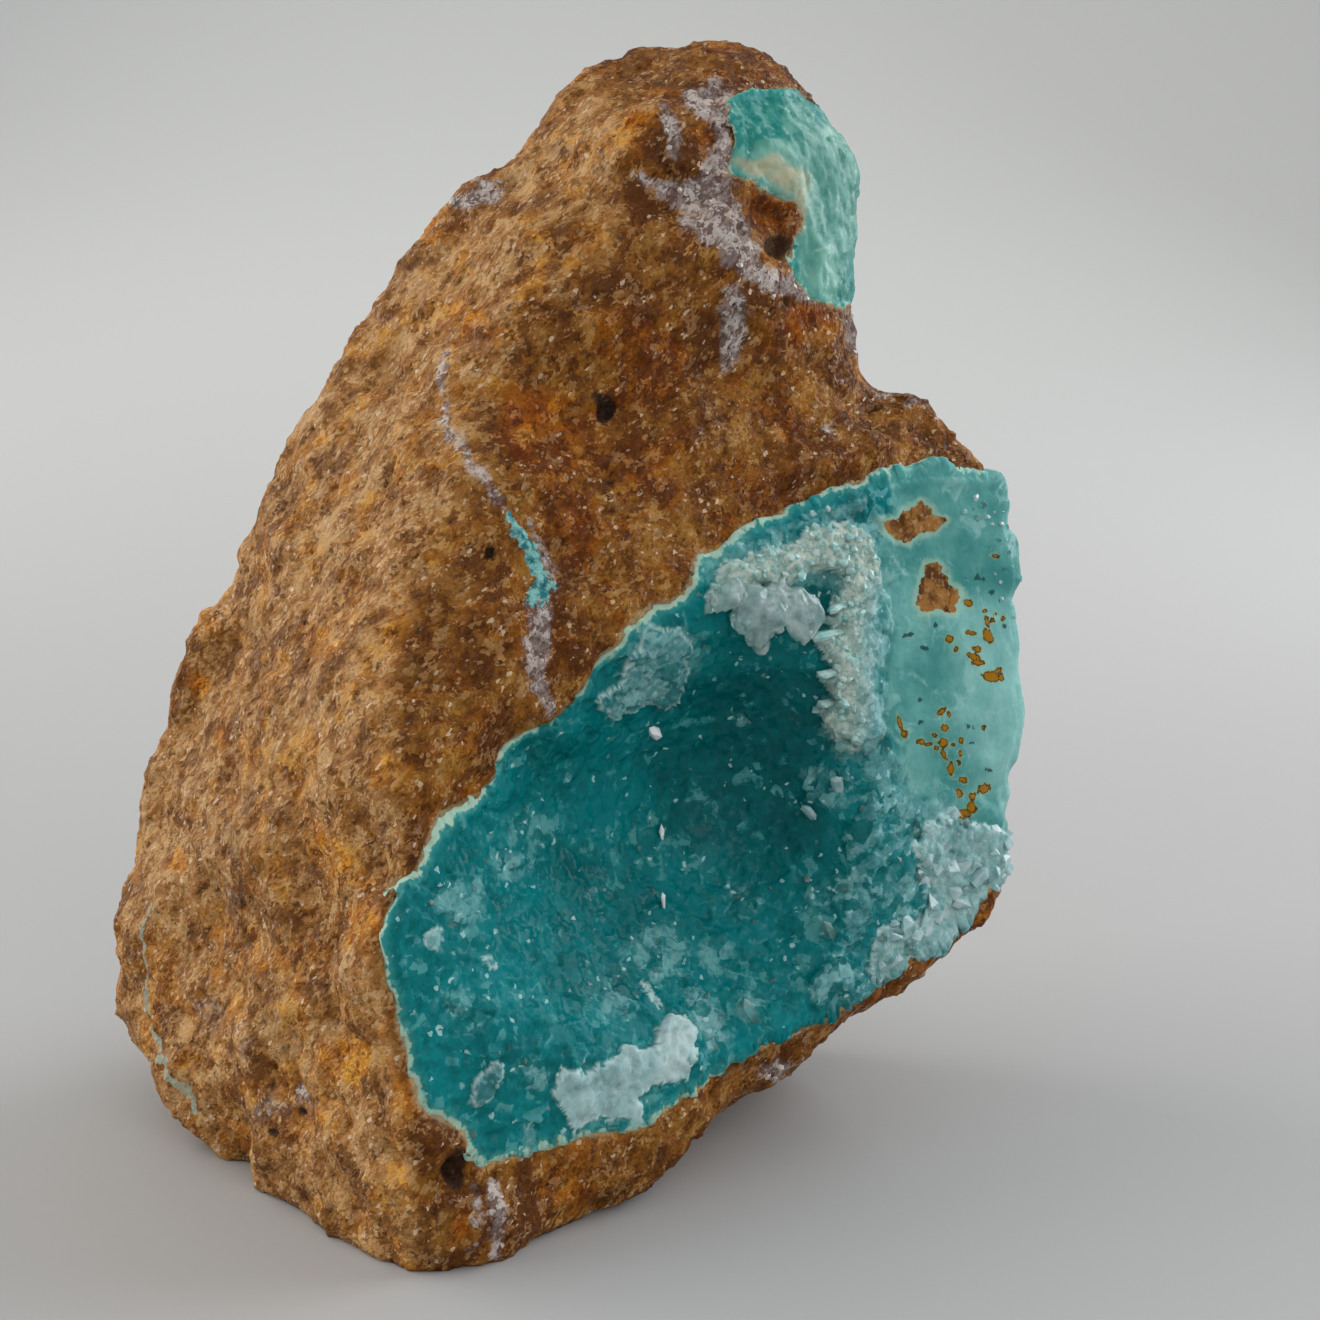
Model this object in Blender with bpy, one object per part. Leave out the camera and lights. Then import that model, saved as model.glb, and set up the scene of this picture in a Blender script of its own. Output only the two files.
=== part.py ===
"""Chrysocolla specimen: a hand-sized block of iron-stained host rock, broken across a pocket of blue-green
chrysocolla that a crust of small quartz crystals lines.

The block rests on its flat underside. Front is -Y. Shapes are worked out in millimetres and become metres
when their mesh is made.
"""

import math

import bmesh
import bpy
import numpy as np
from mathutils import Vector, noise
from mathutils.bvhtree import BVHTree

MM = 0.001

# Driving dimensions of the host rock, in millimetres.
BODY_CORNERS = (
    (-7.5, -23.0, -3.0),  # front toe
    (-24.0, 1.5, -3.0),  # left foot
    (-29.2, 6.0, 0.5),  # left foot, outer
    (-17.0, 24.0, -3.0),  # back left foot
    (13.0, 19.0, -3.0),  # back right foot
    (0.5, -15.5, -2.0),  # front right foot
    (-8.0, -22.8, 22.0),  # front corner beside the pocket
    (-37.0, 6.0, 5.6),  # left corner
    (-35.1, 6.0, 15.0),  # left flank, low
    (-31.8, 6.0, 29.8),  # left flank, high
    (-19.9, 5.0, 51.9),  # left shoulder
    (-16.9, 5.0, 57.6),  # left shoulder, middle
    (-9.2, 5.0, 67.0),  # left shoulder, upper
    (32.8, 4.4, 16.2),  # lower right corner
    (34.4, 5.2, 31.5),  # right bulge
    (34.6, 5.4, 41.5),  # right edge
    (33.3, 5.4, 48.2),  # upper right corner
    (28.7, 6.0, 52.9),  # right shoulder
    (26.5, 2.8, 49.5),  # top edge of the pocket, right
    (10.0, -7.3, 45.0),  # top edge of the pocket, middle
    (-10.0, -14.8, 40.0),  # brow above the pocket
    (1.0, -3.0, 62.0),  # foot of the head
    (23.0, 6.5, 57.6),  # right of the neck
    (26.0, 20.0, 18.0),  # back right, low
    (24.0, 19.0, 40.0),  # back right, high
    (-25.0, 22.0, 20.0),  # back left, low
    (-6.0, 27.0, 30.0),  # back ridge
    (8.0, 21.0, 60.0),  # back of the neck
    (-8.0, 16.0, 61.0),  # back of the shoulder
)
HEAD_CORNERS = (
    (-7.2, 5.0, 69.2),  # left, where the shoulder meets it
    (-1.7, 8.0, 74.4),  # left cheek
    (1.9, 8.0, 79.0),  # top left
    (9.5, 9.0, 80.3),  # top
    (17.2, 9.0, 78.7),  # top right
    (20.0, 8.0, 75.0),  # right, high
    (22.6, 7.0, 71.0),  # right, widest
    (20.7, 7.0, 60.5),  # right, at the neck
    (4.0, -1.0, 72.5),  # forehead, left
    (12.0, -1.5, 73.0),  # forehead, right
    (3.0, -3.5, 59.0),  # chin, left
    (13.0, -3.0, 58.0),  # chin, right
    (2.0, 20.0, 75.0),  # back, top left
    (15.0, 19.0, 74.0),  # back, top right
    (-6.0, 17.0, 63.0),  # back, low left
    (18.0, 19.0, 58.0),  # back, low right
)
EDGE_ROUNDING = 0.45
NECK_FILLET = 2.5
ROCK_HEART = (4.0, 11.0, 25.0)  # every point of the surface is in sight of it
ROCK_TRIANGLES = 4600

# Swellings and dents: centre, height (a dent is negative) and reach, in millimetres.
SWELLINGS = (
    ((-24.0, 1.0, 42.0), -1.3, 5.0),  # dip below the left shoulder
    ((-17.0, 2.0, 56.0), 0.7, 3.0),  # knob on the left shoulder
    ((-4.0, 6.0, 71.0), -1.6, 3.0),  # notch between shoulder and head
    ((22.0, 5.0, 58.5), -1.0, 3.5),  # neck, right
    ((-12.0, -15.0, 30.0), 1.6, 4.5),  # ledge on the left face
    ((-18.0, -10.0, 24.5), 1.4, 4.5),  # the ledge's outer part
    ((-15.0, -15.0, 19.0), -1.5, 5.5),  # hollow under the ledge
    ((-23.0, -7.0, 13.0), -1.2, 5.0),  # the hollow's outer part
    ((-12.0, 0.0, 56.0), -0.8, 5.0),  # dip beside the upper ridge
    ((-3.0, -10.0, 48.0), 0.9, 3.0),  # seam ridge
    ((-1.0, -12.5, 41.0), 0.8, 3.0),  # its lower end
    ((3.3, -5.2, 53.5), -1.0, 4.0),  # dent in the brow
    ((12.0, -3.0, 50.0), 0.7, 5.0),  # swelling over the pocket
    ((-5.0, 27.0, 40.0), 1.6, 8.0),  # back ridge
    ((14.0, 24.0, 34.0), -2.0, 8.0),  # back, right scoop
    ((-20.0, 24.0, 34.0), -1.8, 8.0),  # back, left scoop
    ((5.0, 26.0, 12.0), 1.5, 8.0),  # back, foot
)
LUMP_HEIGHT, LUMP_SIZE = 0.7, 7.0
CHIP_COUNT, CHIP_TILT, CHIP_STEP = 320, 0.10, 0.2
CHIP_BLEND = 0.35
CHIP_SEED = 11

# The broken face across the pocket: its outward normal, and a point on it.
FACE_NORMAL = Vector((0.506, -0.856, 0.109)).normalized()
FACE_CENTRE = Vector((11.25, -8.72, 28.71))
FACE_ACROSS = Vector((0, 0, 1)).cross(FACE_NORMAL).normalized()
FACE_UP = FACE_NORMAL.cross(FACE_ACROSS)

# Chrysocolla outline on that face, as (across, up) from its centre. It runs out through the right edge.
POCKET_OUTLINE = (
    (-19.0, -22.4),
    (-20.2, -20.0),
    (-22.6, -18.4),
    (-23.6, -12.8),
    (-24.2, -8.6),
    (-23.1, -4.6),
    (-20.0, -2.0),
    (-17.0, -0.5),
    (-14.8, 3.0),
    (-11.9, 4.6),
    (-8.1, 8.2),
    (-1.9, 11.8),
    (-0.9, 14.4),
    (4.8, 16.4),
    (10.8, 18.4),
    (19.0, 19.8),
    (26.0, 19.6),
    (36.0, 18.0),
    (37.0, -8.0),
    (22.5, -11.4),
    (16.6, -14.6),
    (9.2, -18.4),
    (0.8, -19.6),
    (-7.9, -22.6),
    (-13.6, -22.3),
)
HOLLOW_DEPTH = 9.0
HOLLOW_CENTRE = (2.0, -3.0)
HOLLOW_REACH_RIGHT, HOLLOW_REACH_LEFT = 11.5, 25.0
HOLLOW_REACH_UP, HOLLOW_REACH_DOWN = 13.5, 19.0
HOLLOW_ROUNDNESS = 1.5
LINING_THICKNESS = 2.2
SLAB_THICKNESS = 6.5  # where the chrysocolla runs out through the right edge
SLAB_FROM, SLAB_TO = 8.0, 20.0
FIT_GAP = 0.32  # between touching pieces

# The small upper patch on the head.
PATCH_NORMAL = Vector((0.70, -0.62, 0.25)).normalized()
PATCH_CENTRE = Vector((16.8, 2.8, 68.6))
PATCH_ACROSS = Vector((0, 0, 1)).cross(PATCH_NORMAL).normalized()
PATCH_UP = PATCH_NORMAL.cross(PATCH_ACROSS)
PATCH_OUTLINE = (
    (-5.8, 4.4),
    (-4.7, 5.6),
    (-2.3, 6.6),
    (2.6, 7.4),
    (4.3, 6.4),
    (7.5, 4.6),
    (11.0, 2.6),
    (11.0, -5.5),
    (3.5, -8.6),
    (-0.7, -8.3),
    (-2.4, -6.1),
    (-0.9, -3.2),
    (-1.5, -1.4),
    (-4.4, -0.5),
    (-7.0, 0.6),
)
PATCH_HUB = (2.0, -0.5)
PATCH_THICKNESS = 2.3
PIT_CENTRE, PIT_DEPTH, PIT_REACH = (14.2, -0.4, 66.0), 1.6, 2.0

# The quartz crust in the hollow.
CRYSTAL_SPACING = 2.6
CRYSTAL_HEIGHTS = (0.4, 1.0)
RIM_CRYSTAL_HEIGHTS = (1.0, 1.7)
CRUST_THICKNESS = 0.5
CRUST_GAP = 0.65
CRUST_REACH = 1.6  # the crust stops where the rock lies deeper than this below its face
CRUST_MARGIN = 1.3  # from a crystal's centre to the edge of the chrysocolla
# The crust's right edge on the broken face, as (up, across).
CRUST_RIGHT_EDGE = ((-12, 25), (-6, 22.5), (-3, 17.5), (2, 15), (8, 15.8), (13, 13.5), (17, 15.5))
CORNER_SHIFT, APEX_SHIFT = 0.24, 0.3  # shares of the spacing
CRYSTAL_SEED = 5

HOST_ROCK_COLOUR = (0.36, 0.17, 0.06, 1.0)
CHRYSOCOLLA_COLOUR = (0.02, 0.33, 0.33, 1.0)
QUARTZ_COLOUR = (0.62, 0.78, 0.78, 1.0)


def clear_scene():
    for obj in list(bpy.data.objects):
        bpy.data.objects.remove(obj, do_unlink=True)


def stone_material(name, colour, roughness):
    """A Principled BSDF with no metal in it."""
    material = bpy.data.materials.new(name)
    material.use_nodes = True
    shader = material.node_tree.nodes["Principled BSDF"]
    shader.inputs["Base Color"].default_value = colour
    shader.inputs["Roughness"].default_value = roughness
    shader.inputs["Metallic"].default_value = 0.0
    return material


def mesh_object(name, points, faces, material=None):
    """An object whose points are given in millimetres."""
    mesh = bpy.data.meshes.new(name)
    mesh.from_pydata([tuple(MM * c for c in p) for p in points], [], faces)
    obj = bpy.data.objects.new(name, mesh)
    bpy.context.scene.collection.objects.link(obj)
    if material:
        mesh.materials.append(material)
    return obj


def hull_planes(corners):
    """Outward normals and offsets of the faces of the corners' convex hull."""
    solid = bmesh.new()
    for corner in corners:
        solid.verts.new(corner)
    bmesh.ops.convex_hull(solid, input=solid.verts)
    bmesh.ops.recalc_face_normals(solid, faces=solid.faces)
    planes = {tuple(round(c, 4) for c in f.normal): f.normal.dot(f.verts[0].co) for f in solid.faces}
    solid.free()
    return np.array(list(planes)), np.array(list(planes.values()))


def smooth_largest(values, softness):
    """The largest value along the last axis, rounded where two are close."""
    top = values.max(axis=-1, keepdims=True)
    return (top + softness * np.log(np.exp((values - top) / softness).sum(axis=-1, keepdims=True)))[..., 0]


def smooth_smaller(a, b, softness):
    return -smooth_largest(np.stack((-a, -b), axis=-1), softness)


def face_coordinates(points):
    """(across, up, height) of points over the broken face."""
    relative = points - np.array(FACE_CENTRE)
    return relative @ np.array(FACE_ACROSS), relative @ np.array(FACE_UP), relative @ np.array(FACE_NORMAL)


def hollow_depth(across, up):
    """How deep the hollow lies under the broken face. Its top and right walls are the steep ones."""
    x = across - HOLLOW_CENTRE[0]
    y = up - HOLLOW_CENTRE[1]
    reach_x = np.where(x > 0, HOLLOW_REACH_RIGHT, HOLLOW_REACH_LEFT)
    reach_y = np.where(y > 0, HOLLOW_REACH_UP, HOLLOW_REACH_DOWN)
    inside = np.clip(1 - (x / reach_x) ** 2 - (y / reach_y) ** 2, 0, 1)
    return HOLLOW_DEPTH * inside**HOLLOW_ROUNDNESS


def lining_depth(across, up):
    """Depth of the chrysocolla's back: a thin lining behind the hollow, a thick slab at the right edge."""
    share = np.clip((across - SLAB_FROM) / (SLAB_TO - SLAB_FROM), 0, 1)
    thickness = LINING_THICKNESS + (SLAB_THICKNESS - LINING_THICKNESS) * share**2 * (3 - 2 * share)
    return hollow_depth(across, up) + thickness


def rock_field(points, body, head):
    """Below 0 inside the stone and above 0 outside it."""
    body_field = smooth_largest(points @ body[0].T - body[1], EDGE_ROUNDING)
    head_field = smooth_largest(points @ head[0].T - head[1], EDGE_ROUNDING)
    across, up, height = face_coordinates(points)
    stone = smooth_smaller(body_field, head_field, NECK_FILLET)
    return np.maximum(stone, height + hollow_depth(across, up))


def surface_distances(directions, heart):
    """How far the surface is from the heart in each direction."""
    body, head = hull_planes(BODY_CORNERS), hull_planes(HEAD_CORNERS)
    reach = 90.0
    near = np.zeros(len(directions))
    step = 1.5
    outside = np.zeros(len(directions), bool)
    while not outside.all() and near.max() < reach:
        ahead = heart + directions * (near + step)[:, None]
        outside |= rock_field(ahead, body, head) > 0
        near = np.where(outside, near, near + step)
    far = near + step
    for _ in range(14):
        middle = (near + far) / 2
        inside = rock_field(heart + directions * middle[:, None], body, head) < 0
        near, far = np.where(inside, middle, near), np.where(inside, far, middle)
    return near


def swelling_heights(points):
    total = np.zeros(len(points))
    for centre, height, reach in SWELLINGS:
        distance = np.linalg.norm(points - np.array(centre), axis=1)
        total += height * np.exp(-((distance / reach) ** 2))
    return total


def lump_heights(points):
    return np.array([LUMP_HEIGHT * noise.noise(Vector(p) / LUMP_SIZE) for p in points])


def chip_heights(points):
    """Nearly flat chips that run into each other, as where the rock was broken with a hammer."""
    rng = np.random.default_rng(CHIP_SEED)
    seeds = points[rng.choice(len(points), CHIP_COUNT, replace=False)]
    tilts = rng.normal(0, CHIP_TILT, (CHIP_COUNT, 3))
    steps = rng.uniform(-CHIP_STEP, CHIP_STEP, CHIP_COUNT)
    heights = []
    for block in np.array_split(points, 80):
        apart = block[:, None] - seeds
        distance = np.linalg.norm(apart, axis=2)
        weight = np.exp((distance.min(1, keepdims=True) - distance) / CHIP_BLEND)
        height = steps + (apart * tilts).sum(2)
        heights.append((weight * height).sum(1) / weight.sum(1))
    return np.concatenate(heights)


def roughened(points, directions):
    """The points moved in and out along their directions. The broken face stays fairly smooth."""
    across, up, height = face_coordinates(points)
    depth = hollow_depth(across, up)
    on_face = (height > -depth - 0.6) & (across > -25) & (up < 21)
    calm = np.where(on_face, np.where(depth > 0.2, 0.0, 0.25), 1.0)
    heights = swelling_heights(points) * np.where(on_face, 0.0, 1.0)
    heights += calm * (lump_heights(points) + chip_heights(points))
    pit = np.linalg.norm(points - np.array(PIT_CENTRE), axis=1)
    heights -= PIT_DEPTH * np.exp(-((pit / PIT_REACH) ** 2))
    return points + directions * heights[:, None]


def rock_blank():
    """The whole specimen's outside as one closed solid, which stands on a flat cut at height 0."""
    ball = bmesh.new()
    bmesh.ops.create_icosphere(ball, subdivisions=7, radius=1.0)
    directions = np.array([v.co.normalized() for v in ball.verts])
    heart = np.array(ROCK_HEART)
    points = heart + directions * surface_distances(directions, heart)[:, None]
    points = roughened(points, directions)
    for vert, point in zip(ball.verts, points):
        vert.co = Vector(point) * MM
    mesh = bpy.data.meshes.new("rock_blank")
    ball.to_mesh(mesh)
    share = ROCK_TRIANGLES / len(ball.faces)
    ball.free()
    blank = bpy.data.objects.new("rock_blank", mesh)
    bpy.context.scene.collection.objects.link(blank)
    decimate = blank.modifiers.new("fewer_faces", "DECIMATE")
    decimate.ratio = share
    bake_modifiers(blank)
    stand_flat(blank)
    return blank


def bake_modifiers(obj):
    """Gives the object the mesh that its modifiers make."""
    graph = bpy.context.evaluated_depsgraph_get()
    obj.data = bpy.data.meshes.new_from_object(obj.evaluated_get(graph))
    obj.modifiers.clear()


def stand_flat(obj):
    """Cuts off what lies below height 0 and closes the cut with one flat face."""
    solid = bmesh.new()
    solid.from_mesh(obj.data)
    everything = [*solid.verts, *solid.edges, *solid.faces]
    ground = {"plane_co": (0, 0, 0), "plane_no": (0, 0, 1)}
    cut = bmesh.ops.bisect_plane(solid, geom=everything, clear_inner=True, **ground)
    rim = [e for e in cut["geom_cut"] if isinstance(e, bmesh.types.BMEdge)]
    bmesh.ops.edgeloop_fill(solid, edges=rim)
    bmesh.ops.recalc_face_normals(solid, faces=solid.faces)
    solid.to_mesh(obj.data)
    solid.free()


def fine_outline(outline, longest=3.0):
    """The outline with points added so that no edge is longer than the given length."""
    fine = []
    for (ax, ay), (bx, by) in zip(outline, outline[1:] + outline[:1]):
        parts = max(1, math.ceil(math.hypot(bx - ax, by - ay) / longest))
        fine += [(ax + (bx - ax) * k / parts, ay + (by - ay) * k / parts) for k in range(parts)]
    return fine


def prism(name, outline, hub, plane, depth, shrink, rings=7, front=8.0):
    """A closed prism with a shaped back, over an outline on a plane: (centre, across, up, normal)."""
    centre, across, up, normal = plane
    hub_x, hub_y = hub
    rim = fine_outline(outline)
    count = len(rim)

    def placed(x, y, height):
        toward_hub = Vector((hub_x - x, hub_y - y))
        x, y = Vector((x, y)) + toward_hub.normalized() * shrink
        return centre + across * x + up * y + normal * height

    points = [placed(hub_x, hub_y, front), placed(hub_x, hub_y, shrink - float(depth(hub_x, hub_y)))]
    points += [placed(x, y, front) for x, y in rim]
    for ring in range(1, rings + 1):
        share = ring / rings
        for rim_x, rim_y in rim:
            x, y = hub_x + (rim_x - hub_x) * share, hub_y + (rim_y - hub_y) * share
            points.append(placed(x, y, shrink - float(depth(x, y))))
    faces = []
    for k in range(count):
        after = (k + 1) % count
        faces.append((0, 2 + k, 2 + after))
        faces.append((1, 2 + count + after, 2 + count + k))
        for ring in range(rings - 1):
            inner, outer = 2 + count * (ring + 1), 2 + count * (ring + 2)
            faces.append((inner + k, inner + after, outer + after))
            faces.append((inner + k, outer + after, outer + k))
        last = 2 + count * rings
        faces.append((2 + k, last + k, last + after, 2 + after))
    solid = mesh_object(name, points, faces)
    turned_outward(solid)
    solid.hide_render = True
    solid.display_type = "WIRE"
    return solid


def turned_outward(obj):
    solid = bmesh.new()
    solid.from_mesh(obj.data)
    bmesh.ops.recalc_face_normals(solid, faces=solid.faces)
    solid.to_mesh(obj.data)
    solid.free()


def cut_copy(name, source, cutters, operation, material):
    """A copy of the source, cut by the cutters or kept only inside them."""
    obj = bpy.data.objects.new(name, source.data.copy())
    bpy.context.scene.collection.objects.link(obj)
    for cutter in cutters:
        boolean = obj.modifiers.new(cutter.name, "BOOLEAN")
        boolean.operation = operation
        boolean.solver = "EXACT"
        boolean.object = cutter
    obj.data.materials.clear()
    obj.data.materials.append(material)
    return obj


def inside_outline(x, y, outline, margin):
    """Whether a point lies inside the outline and at least the margin from its edge."""
    crossings = 0
    for (ax, ay), (bx, by) in zip(outline, outline[1:] + outline[:1]):
        if (ay > y) != (by > y) and x < ax + (bx - ax) * (y - ay) / (by - ay):
            crossings += 1
        share = ((x - ax) * (bx - ax) + (y - ay) * (by - ay)) / ((bx - ax) ** 2 + (by - ay) ** 2)
        share = min(1.0, max(0.0, share))
        if math.hypot(x - ax - (bx - ax) * share, y - ay - (by - ay) * share) < margin:
            return False
    return crossings % 2 == 1


def wall_normal(x, y):
    small = 0.05
    slope_x = float(hollow_depth(x + small, y) - hollow_depth(x - small, y)) / (2 * small)
    slope_y = float(hollow_depth(x, y + small) - hollow_depth(x, y - small)) / (2 * small)
    return (FACE_NORMAL + FACE_ACROSS * slope_x + FACE_UP * slope_y).normalized()


def wall_point(rock_surface, x, y):
    """The rock's surface at (x, y) on the broken face, or None where the face has come to an end."""
    over_face = FACE_CENTRE + FACE_ACROSS * x + FACE_UP * y + FACE_NORMAL * 5.0
    hit, _, _, distance = rock_surface.ray_cast(over_face, -FACE_NORMAL)
    if hit is None or abs(distance - 5.0 - float(hollow_depth(x, y))) > CRUST_REACH:
        return None
    return hit


def crust_cells(rock_surface):
    """Centres of the crystals: a honeycomb over the hollow and the rim round it."""
    row_height = CRYSTAL_SPACING * math.sqrt(3) / 2
    reach = CRYSTAL_SPACING * (1 / math.sqrt(3) + CORNER_SHIFT)
    right_edge = np.transpose(CRUST_RIGHT_EDGE)
    cells = []
    for row in range(-16, 17):
        for column in range(-16, 17):
            x = (column + 0.5 * (row % 2)) * CRYSTAL_SPACING
            y = row * row_height
            turns = [k * math.pi / 3 for k in range(6)]
            spots = [(x, y)] + [(x + reach * math.cos(a), y + reach * math.sin(a)) for a in turns]
            backed = all(wall_point(rock_surface, *spot) for spot in spots)
            in_pocket = x < np.interp(y, *right_edge) and inside_outline(x, y, POCKET_OUTLINE, CRUST_MARGIN)
            if backed and in_pocket:
                cells.append((x, y))
    return cells


def quartz_crust(material, blank):
    """One crust of six-sided points, a honeycomb cell each, on a thin base that follows the hollow."""
    rock_points = [v.co / MM for v in blank.data.vertices]
    rock_surface = BVHTree.FromPolygons(rock_points, [p.vertices for p in blank.data.polygons])
    rng = np.random.default_rng(CRYSTAL_SEED)
    corner_radius = CRYSTAL_SPACING / math.sqrt(3)
    points, faces, corner_index, edge_count = [], [], {}, {}

    def add_pair(x, y, height):
        """A point on top of the crust and the one under it, on the crust's back."""
        wall, normal = wall_point(rock_surface, x, y), wall_normal(x, y)
        points.append(wall + normal * (CRUST_GAP + CRUST_THICKNESS + height))
        points.append(wall + normal * CRUST_GAP)

    def corner(x, y):
        key = (round(x, 2), round(y, 2))
        if key not in corner_index:
            shift_x, shift_y = rng.uniform(-CORNER_SHIFT, CORNER_SHIFT, 2) * CRYSTAL_SPACING
            corner_index[key] = len(points)
            add_pair(x + shift_x, y + shift_y, 0.0)
        return corner_index[key]

    for x, y in crust_cells(rock_surface):
        angles = [math.pi / 6 + k * math.pi / 3 for k in range(6)]
        ring = [corner(x + corner_radius * math.cos(a), y + corner_radius * math.sin(a)) for a in angles]
        on_rim = (x > -3 and y > 5) or x > 8
        height = rng.uniform(*(RIM_CRYSTAL_HEIGHTS if on_rim else CRYSTAL_HEIGHTS))
        lean_x, lean_y = rng.uniform(-APEX_SHIFT, APEX_SHIFT, 2) * CRYSTAL_SPACING
        apex = len(points)
        add_pair(x + lean_x, y + lean_y, height)
        for a, b in zip(ring, ring[1:] + ring[:1]):
            faces.append((apex, a, b))
            faces.append((apex + 1, b + 1, a + 1))
            edge_count[frozenset((a, b))] = edge_count.get(frozenset((a, b)), 0) + 1
    for edge, count in edge_count.items():
        if count == 1:
            a, b = edge
            faces.append((a, b, b + 1, a + 1))
    crust = mesh_object("quartz_crust", points, faces, material)
    turned_outward(crust)
    return crust


def centre_on_base(pieces, guides):
    """Moves everything sideways so that the origin is the middle of the pieces' box, at its base."""
    graph = bpy.context.evaluated_depsgraph_get()
    corners = []
    for obj in pieces:
        shape = obj.evaluated_get(graph).to_mesh()
        places = np.empty(len(shape.vertices) * 3)
        shape.vertices.foreach_get("co", places)
        corners += [places.reshape(-1, 3).min(0), places.reshape(-1, 3).max(0)]
    middle = (np.min(corners, 0) + np.max(corners, 0)) / 2
    for obj in [*pieces, *guides]:
        obj.location = (-middle[0], -middle[1], 0)


def main():
    clear_scene()
    host_rock = stone_material("host_rock", HOST_ROCK_COLOUR, 0.75)
    chrysocolla = stone_material("chrysocolla", CHRYSOCOLLA_COLOUR, 0.35)
    quartz = stone_material("quartz", QUARTZ_COLOUR, 0.15)

    blank = rock_blank()
    face = (FACE_CENTRE, FACE_ACROSS, FACE_UP, FACE_NORMAL)
    patch = (PATCH_CENTRE, PATCH_ACROSS, PATCH_UP, PATCH_NORMAL)
    guides = [blank]
    inserts = []
    cutters = []
    for name, outline, hub, plane, depth in (
        ("chrysocolla_face", POCKET_OUTLINE, HOLLOW_CENTRE, face, lining_depth),
        ("chrysocolla_patch", PATCH_OUTLINE, PATCH_HUB, patch, lambda x, y: PATCH_THICKNESS),
    ):
        cutter = prism(name + "_cutter", outline, hub, plane, depth, 0.0)
        keeper = prism(name + "_keeper", outline, hub, plane, depth, FIT_GAP, front=7.0)
        cutters.append(cutter)
        guides += [cutter, keeper]
        inserts.append(cut_copy(name, blank, [keeper], "INTERSECT", chrysocolla))
    rock = cut_copy("host_rock", blank, cutters, "DIFFERENCE", host_rock)
    crust = quartz_crust(quartz, blank)
    blank.hide_render = True
    blank.display_type = "WIRE"
    centre_on_base([rock, *inserts, crust], guides)


main()
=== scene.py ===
import math
from itertools import product

import bmesh
import bpy
import numpy as np
from mathutils import Matrix, Vector
from mathutils.bvhtree import BVHTree


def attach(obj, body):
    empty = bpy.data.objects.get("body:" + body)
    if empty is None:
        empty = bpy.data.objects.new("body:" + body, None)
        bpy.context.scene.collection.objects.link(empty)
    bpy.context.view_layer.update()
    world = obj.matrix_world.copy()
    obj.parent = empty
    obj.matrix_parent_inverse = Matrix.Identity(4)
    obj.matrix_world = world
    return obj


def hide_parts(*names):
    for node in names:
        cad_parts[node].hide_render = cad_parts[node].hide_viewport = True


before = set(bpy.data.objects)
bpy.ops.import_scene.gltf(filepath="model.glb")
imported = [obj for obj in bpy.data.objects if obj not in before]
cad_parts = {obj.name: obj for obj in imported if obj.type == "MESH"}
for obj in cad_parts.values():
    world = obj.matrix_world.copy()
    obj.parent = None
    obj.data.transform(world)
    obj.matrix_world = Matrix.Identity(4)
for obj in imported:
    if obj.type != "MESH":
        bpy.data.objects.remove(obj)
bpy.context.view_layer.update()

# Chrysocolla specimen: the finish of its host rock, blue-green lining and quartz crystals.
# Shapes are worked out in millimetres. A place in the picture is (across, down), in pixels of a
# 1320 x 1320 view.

MM = 0.001
SEED = 9338


def unit(vectors):
    return vectors / np.linalg.norm(vectors, axis=-1, keepdims=True)


# Camera of the picture.
VIEW_SIZE = 1320.0
VIEW_MIDDLE = 660.0
FOCAL_LENGTH = 1593.0  # in pixels of the view
PIXELS_PER_MM = 13.3  # on the stone's front
CAMERA_PLACE = np.array((7.64, -114.818, 47.0))
CAMERA_DIP = math.atan(170.0 / FOCAL_LENGTH)
CAMERA_UP = np.array((0.0, math.sin(CAMERA_DIP), math.cos(CAMERA_DIP)))
CAMERA_AHEAD = np.array((0.0, math.cos(CAMERA_DIP), -math.sin(CAMERA_DIP)))

# The broken faces of the pocket and of the patch, as in the solids.
SHIFT = np.array((0.64, -1.818, 0.0))  # the solids were centred on their foot by this
FACE_CENTRE = np.array((11.25, -8.72, 28.71)) + SHIFT
FACE_NORMAL = unit(np.array((0.506, -0.856, 0.109)))
FACE_ACROSS = unit(np.cross((0, 0, 1), FACE_NORMAL))
FACE_UP = np.cross(FACE_NORMAL, FACE_ACROSS)
PATCH_NORMAL = unit(np.array((0.70, -0.62, 0.25)))
POCKET_OUTLINE = (
    (-19, -22.4), (-20.2, -20), (-22.6, -18.4), (-23.6, -12.8), (-24.2, -8.6), (-23.1, -4.6), (-20, -2),
    (-17, -0.5), (-14.8, 3), (-11.9, 4.6), (-8.1, 8.2), (-1.9, 11.8), (-0.9, 14.4), (4.8, 16.4),
    (10.8, 18.4), (19, 19.8), (26, 19.6), (36, 18), (37, -8), (22.5, -11.4), (16.6, -14.6), (9.2, -18.4),
    (0.8, -19.6), (-7.9, -22.6), (-13.6, -22.3),
)
# The smooth broken slab at the right of the lining: how far across it begins at several heights.
SLAB_HEIGHTS = (-12, -6, -3, 2, 8, 13, 17)
SLAB_STARTS = (24.5, 21, 15.8, 13.2, 14, 12.6, 15)

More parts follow.
